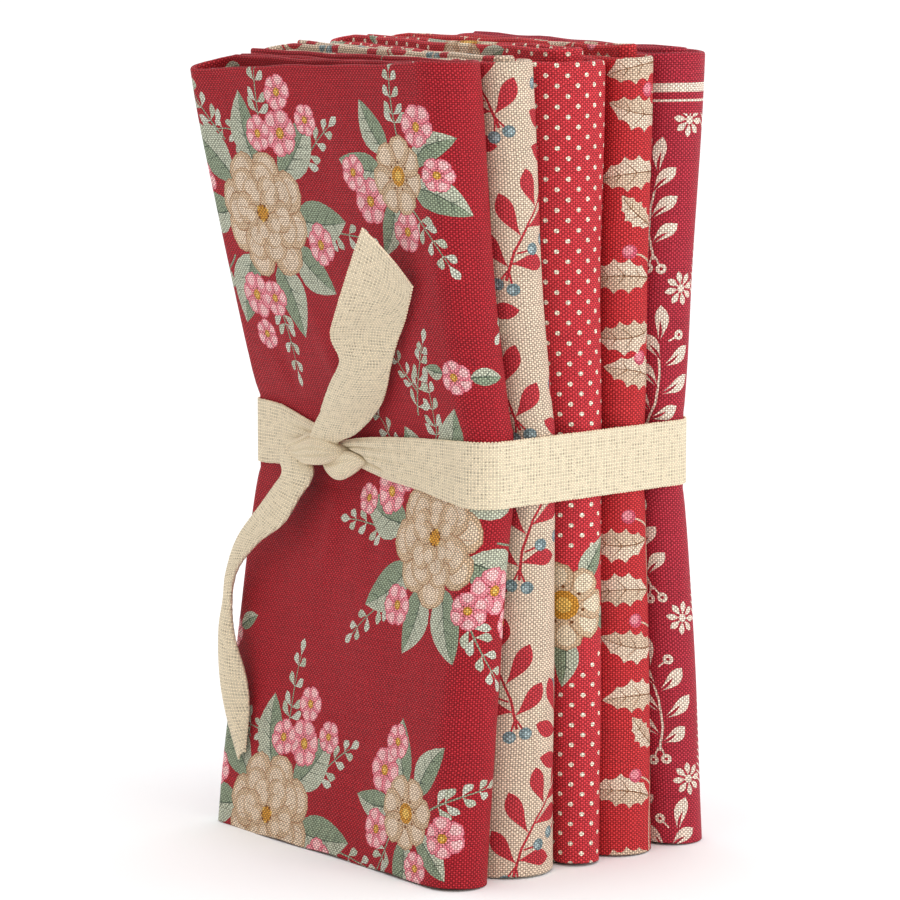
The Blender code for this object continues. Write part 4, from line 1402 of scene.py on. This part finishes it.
def natural_tape(name, colour, pitch, open_share):
    """Unbleached cotton tape, loosely woven of soft yarn: cream, matt and finely ribbed, the ribs drawn with
    painted shade between the yarns and painted light on their crowns, with uneven dark pinholes between
    groups of yarns. The open share is 1 where the tape lies flat."""
    material, tree, shader = new_material(name, 0.92, 0.1)
    flat, height = weave_nodes(tree, pitch / 2, 1.0)
    axes = node(tree, "ShaderNodeSeparateXYZ", {"Vector": flat})
    peaks = []
    for axis, narrow in (("X", 4.0), ("Y", 7.0)):
        turn = node(tree, "ShaderNodeMath", {0: axes.outputs[axis], 1: math.pi / pitch}, operation="MULTIPLY")
        wave = node(tree, "ShaderNodeMath", {0: turn.outputs[0]}, operation="COSINE")
        size = node(tree, "ShaderNodeMath", {0: wave.outputs[0]}, operation="ABSOLUTE")
        peaks.append(node(tree, "ShaderNodeMath", {0: size.outputs[0], 1: narrow}, operation="POWER"))
    hole = node(tree, "ShaderNodeMath", {0: peaks[0].outputs[0], 1: peaks[1].outputs[0]},
                operation="MULTIPLY")
    patch = node(tree, "ShaderNodeTexNoise", {
        "Vector": flat, "Scale": 1 / (PINHOLE_PATCH * MM), "Detail": 2.0})
    depth = node(tree, "ShaderNodeMapRange", {
        "Value": patch.outputs["Fac"], "From Min": 0.4, "From Max": 0.62,
        "To Min": 0.12 * open_share, "To Max": open_share})
    dark = node(tree, "ShaderNodeMath", {0: hole.outputs[0], 1: depth.outputs[0]}, operation="MULTIPLY")
    open_ = node(tree, "ShaderNodeMath", {0: 1.0, 1: dark.outputs[0]}, operation="SUBTRACT")
    # Painted shade between the yarns and painted light on their crowns.
    yarn = node(tree, "ShaderNodeMapRange", {
        "Value": height, "From Min": 0.1, "From Max": 0.8, "To Min": 0.56, "To Max": 1.13})
    tone = node(tree, "ShaderNodeMath", {0: yarn.outputs[0], 1: open_.outputs[0]}, operation="MULTIPLY")
    streak = streak_nodes(tree, flat, pitch / 2, TAPE_STREAK)
    tone = node(tree, "ShaderNodeMath", {0: tone.outputs[0], 1: streak}, operation="MULTIPLY")
    shade = node(tree, "ShaderNodeVectorMath", {0: colour, "Scale": tone.outputs[0]}, operation="SCALE")
    tree.links.new(shade.outputs["Vector"], shader.inputs["Base Color"])
    bump = node(tree, "ShaderNodeBump", {"Height": tone.outputs[0], "Strength": 0.5, "Distance": 0.0004})
    tree.links.new(bump.outputs["Normal"], shader.inputs["Normal"])
    return material


def soft_yarn(name, colour):
    """Thick unbleached cotton yarn at the tape's woven edges: cream and matt."""
    material, _, shader = new_material(name, 0.92, 0.1)
    shader.inputs["Base Color"].default_value = (*colour, 1)
    return material


def matt_paper(name, colour):
    """A plain pale sweep of paper under and behind the bundle."""
    material, _, shader = new_material(name, 0.95, 0.0)
    shader.inputs["Base Color"].default_value = (*colour, 1)
    return material


LIGHT_FROM = (-0.42, 0.36, 0.83)        # from behind the bundle and above


def soft_room():
    """Even white light from behind the bundle, a little dimmer and warmer from in front of its wide face."""
    world = bpy.data.worlds.new("soft_room")
    world.use_nodes = True
    tree = world.node_tree
    view = node(tree, "ShaderNodeTexCoord")
    behind = node(tree, "ShaderNodeVectorMath", {0: view.outputs["Generated"], 1: LIGHT_FROM},
                  operation="DOT_PRODUCT")
    share = node(tree, "ShaderNodeMapRange", {
        "Value": behind.outputs["Value"], "From Min": -0.35, "From Max": 0.45})
    dimmer, brightest = (0.40, 0.29, 0.17), 1.27
    rise = node(tree, "ShaderNodeVectorMath", {0: [brightest - channel for channel in dimmer],
                                               "Scale": share.outputs[0]}, operation="SCALE")
    colour = node(tree, "ShaderNodeVectorMath", {0: rise.outputs[0], 1: dimmer}, operation="ADD")
    tree.links.new(colour.outputs["Vector"], tree.nodes["Background"].inputs["Color"])
    tree.nodes["Background"].inputs["Strength"].default_value = 1.0
    return world


# --------------------------------------------------------------------------------------------------
# Settings, operators and panel
# --------------------------------------------------------------------------------------------------
class BundleClothSettings(bpy.types.PropertyGroup):
    """Sizes of the quilting cotton"""
    cloth_thickness: bpy.props.FloatProperty(
        name="Cloth Thickness", description="Thickness of the quilting cotton", default=0.00035,
        unit="LENGTH")
    thread_pitch: bpy.props.FloatProperty(
        name="Thread Pitch", default=0.00074, unit="LENGTH",
        description="Spacing of the lengthwise threads as drawn; the real ones lie about half as far apart, "
        "which is too fine to show")


class BundleTapeSettings(bpy.types.PropertyGroup):
    """Sizes and colour of the tape"""
    thickness: bpy.props.FloatProperty(
        name="Thickness", description="Thickness of the tape", default=0.0007, unit="LENGTH")
    yarn_pitch: bpy.props.FloatProperty(
        name="Yarn Pitch", description="Spacing of the tape's yarns", default=0.0011, unit="LENGTH")
    colour: bpy.props.FloatVectorProperty(
        name="Colour", description="Colour of the unbleached cotton", subtype="COLOR",
        default=hex_to_linear("#F3E5C9"))
    bead_radius: bpy.props.FloatProperty(
        name="Bead Radius", description="Radius of the yarn at the tape's woven edges", default=0.00052,
        unit="LENGTH")
    seed: bpy.props.IntProperty(name="Seed", description="Seed of the uneven edge yarn", default=3)


class BundleStageSettings(bpy.types.PropertyGroup):
    """The camera and the floor"""
    lens: bpy.props.FloatProperty(
        name="Lens", description="Focal length on a 36 mm sensor, in millimetres", default=168.3)
    distance: bpy.props.FloatProperty(
        name="Distance", description="Camera distance over the floor", default=1.3189, unit="LENGTH")
    azimuth: bpy.props.FloatProperty(
        name="Azimuth", description="Camera direction, round from the wide face towards the spines",
        default=math.radians(49.6), subtype="ANGLE")
    height: bpy.props.FloatProperty(
        name="Height", description="Camera height over the floor", default=0.3205, unit="LENGTH")
    pitch: bpy.props.FloatProperty(
        name="Pitch", description="How far the camera looks down", default=math.radians(8.5), subtype="ANGLE")
    aim_y: bpy.props.FloatProperty(
        name="Aim Y", description="Where the camera's circle is centred, behind the origin", default=0.0036,
        unit="LENGTH")
    pan: bpy.props.FloatProperty(
        name="Pan", description="How far the camera turns from the bundle's centre",
        default=math.radians(0.1), subtype="ANGLE")
    floor_colour: bpy.props.FloatVectorProperty(
        name="Floor", description="Colour of the sweep", subtype="COLOR", default=hex_to_linear("#FCFDFF"))


class BUNDLE_OT_quarters(bpy.types.Operator):
    """Fold the five printed quarters"""
    bl_idname = "bundle.quarters"
    bl_label = "Fold Quarters"

    def execute(self, context):
        settings = context.scene.bundle_cloth
        pitch = settings.thread_pitch
        for index, (quarter, design) in enumerate(zip(QUARTERS, PRINTS)):
            front = printed_cotton(f"{quarter.name}_printed_cotton", pitch)
            back = cotton_reverse(f"{quarter.name}_cotton_reverse", INKS[design.ground], pitch)
            obj = make_quarter(index, settings, (front, back))
            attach(obj, "root")
            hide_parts(quarter.name)
        return {"FINISHED"}


def tape_cotton(settings, name="natural_cotton_tape", open_share=1.0):
    """The tape's material, made when it is first asked for."""
    made = bpy.data.materials.get(name)
    return made or natural_tape(name, settings.colour, settings.yarn_pitch, open_share)


def dress_tape(obj):
    """Hand a piece of the tape to the frame."""
    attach(obj, "root")
    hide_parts("tie_tape")


def tape_strip(name, grid, across, settings):
    """One strip of the tape, and the length of its middle in metres."""
    obj = strip_object(name, grid, across, settings.thickness / MM, tape_cotton(settings))
    dress_tape(obj)
    middle = grid[:, STRIP_COLUMNS // 2]
    return obj, float(np.linalg.norm(np.diff(middle, axis=0), axis=1).sum()) * MM


ENDS_OF_TAPE = {"tape_end_upper": UPPER_TAIL, "tape_end_lower": LOWER_TAIL}


KNOT_OPEN_SHARE_PAINTED_LIGHTER = 0.3       # the knot is pulled tight, so its pinholes are nearly shut; with fewer dark pinholes the knot is also painted lighter, for the light it catches


class BUNDLE_OT_knot(bpy.types.Operator):
    """Tie the knot: the wrap over its middle, the lobe below it and the turn beside it"""
    bl_idname = "bundle.knot"
    bl_label = "Tie Knot"

    def execute(self, context):
        settings = context.scene.bundle_tape
        # The knot's tape shows fewer pinholes and so is painted lighter than the band: partly its tight
        # gathering, partly painted light.
        gathered = tape_cotton(settings, "knot_cotton_tape_painted_lighter", KNOT_OPEN_SHARE_PAINTED_LIGHTER)
        for fold in KNOT:
            dress_tape(tube_object("tape_knot_" + fold.name, knot_fold_rings(fold), gathered))
        return {"FINISHED"}


class BUNDLE_OT_band(bpy.types.Operator):
    """Wind the band round the waist from the knot and back to it"""
    bl_idname = "bundle.band"
    bl_label = "Wind Band"

    def execute(self, context):
        settings = context.scene.bundle_tape
        obj, length = tape_strip("tape_band", *band_grid(settings.thickness / MM), settings)
        return {"FINISHED"}


class BUNDLE_OT_free_ends(bpy.types.Operator):
    """Lay the tape's two free ends"""
    bl_idname = "bundle.free_ends"
    bl_label = "Lay Free Ends"

    def execute(self, context):
        settings = context.scene.bundle_tape
        for name, rows in ENDS_OF_TAPE.items():
            obj, length = tape_strip(name, *tail_grid(rows), settings)
        return {"FINISHED"}


class BUNDLE_OT_selvedges(bpy.types.Operator):
    """Set the bead-like yarn along the tape's woven edges"""
    bl_idname = "bundle.selvedges"
    bl_label = "Add Selvedges"

    def execute(self, context):
        settings = context.scene.bundle_tape
        grids = [band_grid(settings.thickness / MM)[0]]
        grids += [tail_grid(rows)[0] for rows in ENDS_OF_TAPE.values()]
        lines = [grid[:, column] for grid in grids for column in (0, -1)]
        dress_tape(beaded_edges("tape_selvedges", lines, {
            "Pitch": settings.yarn_pitch, "Bead Radius": settings.bead_radius, "Seed": settings.seed,
            "Material": soft_yarn("cotton_edge_yarn", settings.colour)}))
        return {"FINISHED"}


# The one lamp is a soft disc on the spines' side, aimed at the bundle's middle.
LAMP_PLACE, LAMP_AIM = Vector((1.9, 0.2, 0.6)), Vector((0, 0, 0.12))
LAMP_SIZE, LAMP_POWER = 0.9, 12.5
FLOOR_SIZE = 12.0


class BUNDLE_OT_stage(bpy.types.Operator):
    """Lay the pale sweep and set the camera, the room's light and the lamp"""
    bl_idname = "bundle.stage"
    bl_label = "Set Stage"

    def execute(self, context):
        settings = context.scene.bundle_stage
        scene = context.scene
        scene.view_settings.view_transform = "Standard"
        bpy.ops.mesh.primitive_plane_add(size=FLOOR_SIZE)
        floor = context.object
        floor.name = "paper_sweep"
        floor.data.materials.append(matt_paper("matt_white_paper", settings.floor_colour))
        camera = bpy.data.objects.new("camera", bpy.data.cameras.new("camera"))
        camera.data.lens = settings.lens
        camera.data.clip_start = 0.05
        camera.location = (math.sin(settings.azimuth) * settings.distance,
                           settings.aim_y - math.cos(settings.azimuth) * settings.distance, settings.height)
        camera.rotation_euler = (math.pi / 2 - settings.pitch, 0, settings.azimuth + settings.pan)
        scene.collection.objects.link(camera)
        scene.camera = camera
        scene.world = soft_room()
        light = bpy.data.lights.new("key", "AREA")
        light.shape = "DISK"
        light.size = LAMP_SIZE
        light.energy = LAMP_POWER
        lamp = bpy.data.objects.new("key", light)
        lamp.location = LAMP_PLACE
        lamp.rotation_euler = (LAMP_AIM - LAMP_PLACE).to_track_quat("-Z", "Y").to_euler()
        scene.collection.objects.link(lamp)
        return {"FINISHED"}


class BUNDLE_PT_panel(bpy.types.Panel):
    """Lists the bundle's settings and steps"""
    bl_idname = "BUNDLE_PT_panel"
    bl_label = "Fat Quarter Bundle"
    bl_space_type = "VIEW_3D"
    bl_region_type = "UI"
    bl_category = "Bundle"

    def draw(self, context):
        for settings, operators in (
                (context.scene.bundle_cloth, (BUNDLE_OT_quarters,)),
                (context.scene.bundle_tape, (BUNDLE_OT_knot, BUNDLE_OT_band, BUNDLE_OT_free_ends,
                                             BUNDLE_OT_selvedges)),
                (context.scene.bundle_stage, (BUNDLE_OT_stage,))):
            box = self.layout.box()
            for name in settings.__annotations__:
                box.prop(settings, name)
            for operator in operators:
                box.operator(operator.bl_idname)


SETTINGS = {"bundle_cloth": BundleClothSettings, "bundle_tape": BundleTapeSettings,
            "bundle_stage": BundleStageSettings}
OPERATORS = (BUNDLE_OT_quarters, BUNDLE_OT_knot, BUNDLE_OT_band, BUNDLE_OT_free_ends, BUNDLE_OT_selvedges,
             BUNDLE_OT_stage)


def register():
    for name, group in SETTINGS.items():
        bpy.utils.register_class(group)
        setattr(bpy.types.Scene, name, bpy.props.PointerProperty(type=group))
    for cls in (*OPERATORS, BUNDLE_PT_panel):
        bpy.utils.register_class(cls)


def unregister():
    for cls in (BUNDLE_PT_panel, *OPERATORS[::-1]):
        bpy.utils.unregister_class(cls)
    for name, group in SETTINGS.items():
        delattr(bpy.types.Scene, name)
        bpy.utils.unregister_class(group)


def main():
    """Build the stage and the bundle."""
    register()
    bpy.ops.bundle.stage()
    bpy.ops.bundle.quarters()
    bpy.ops.bundle.knot()
    bpy.ops.bundle.band()
    bpy.ops.bundle.free_ends()
    bpy.ops.bundle.selvedges()


if __name__ == "__main__":
    main()
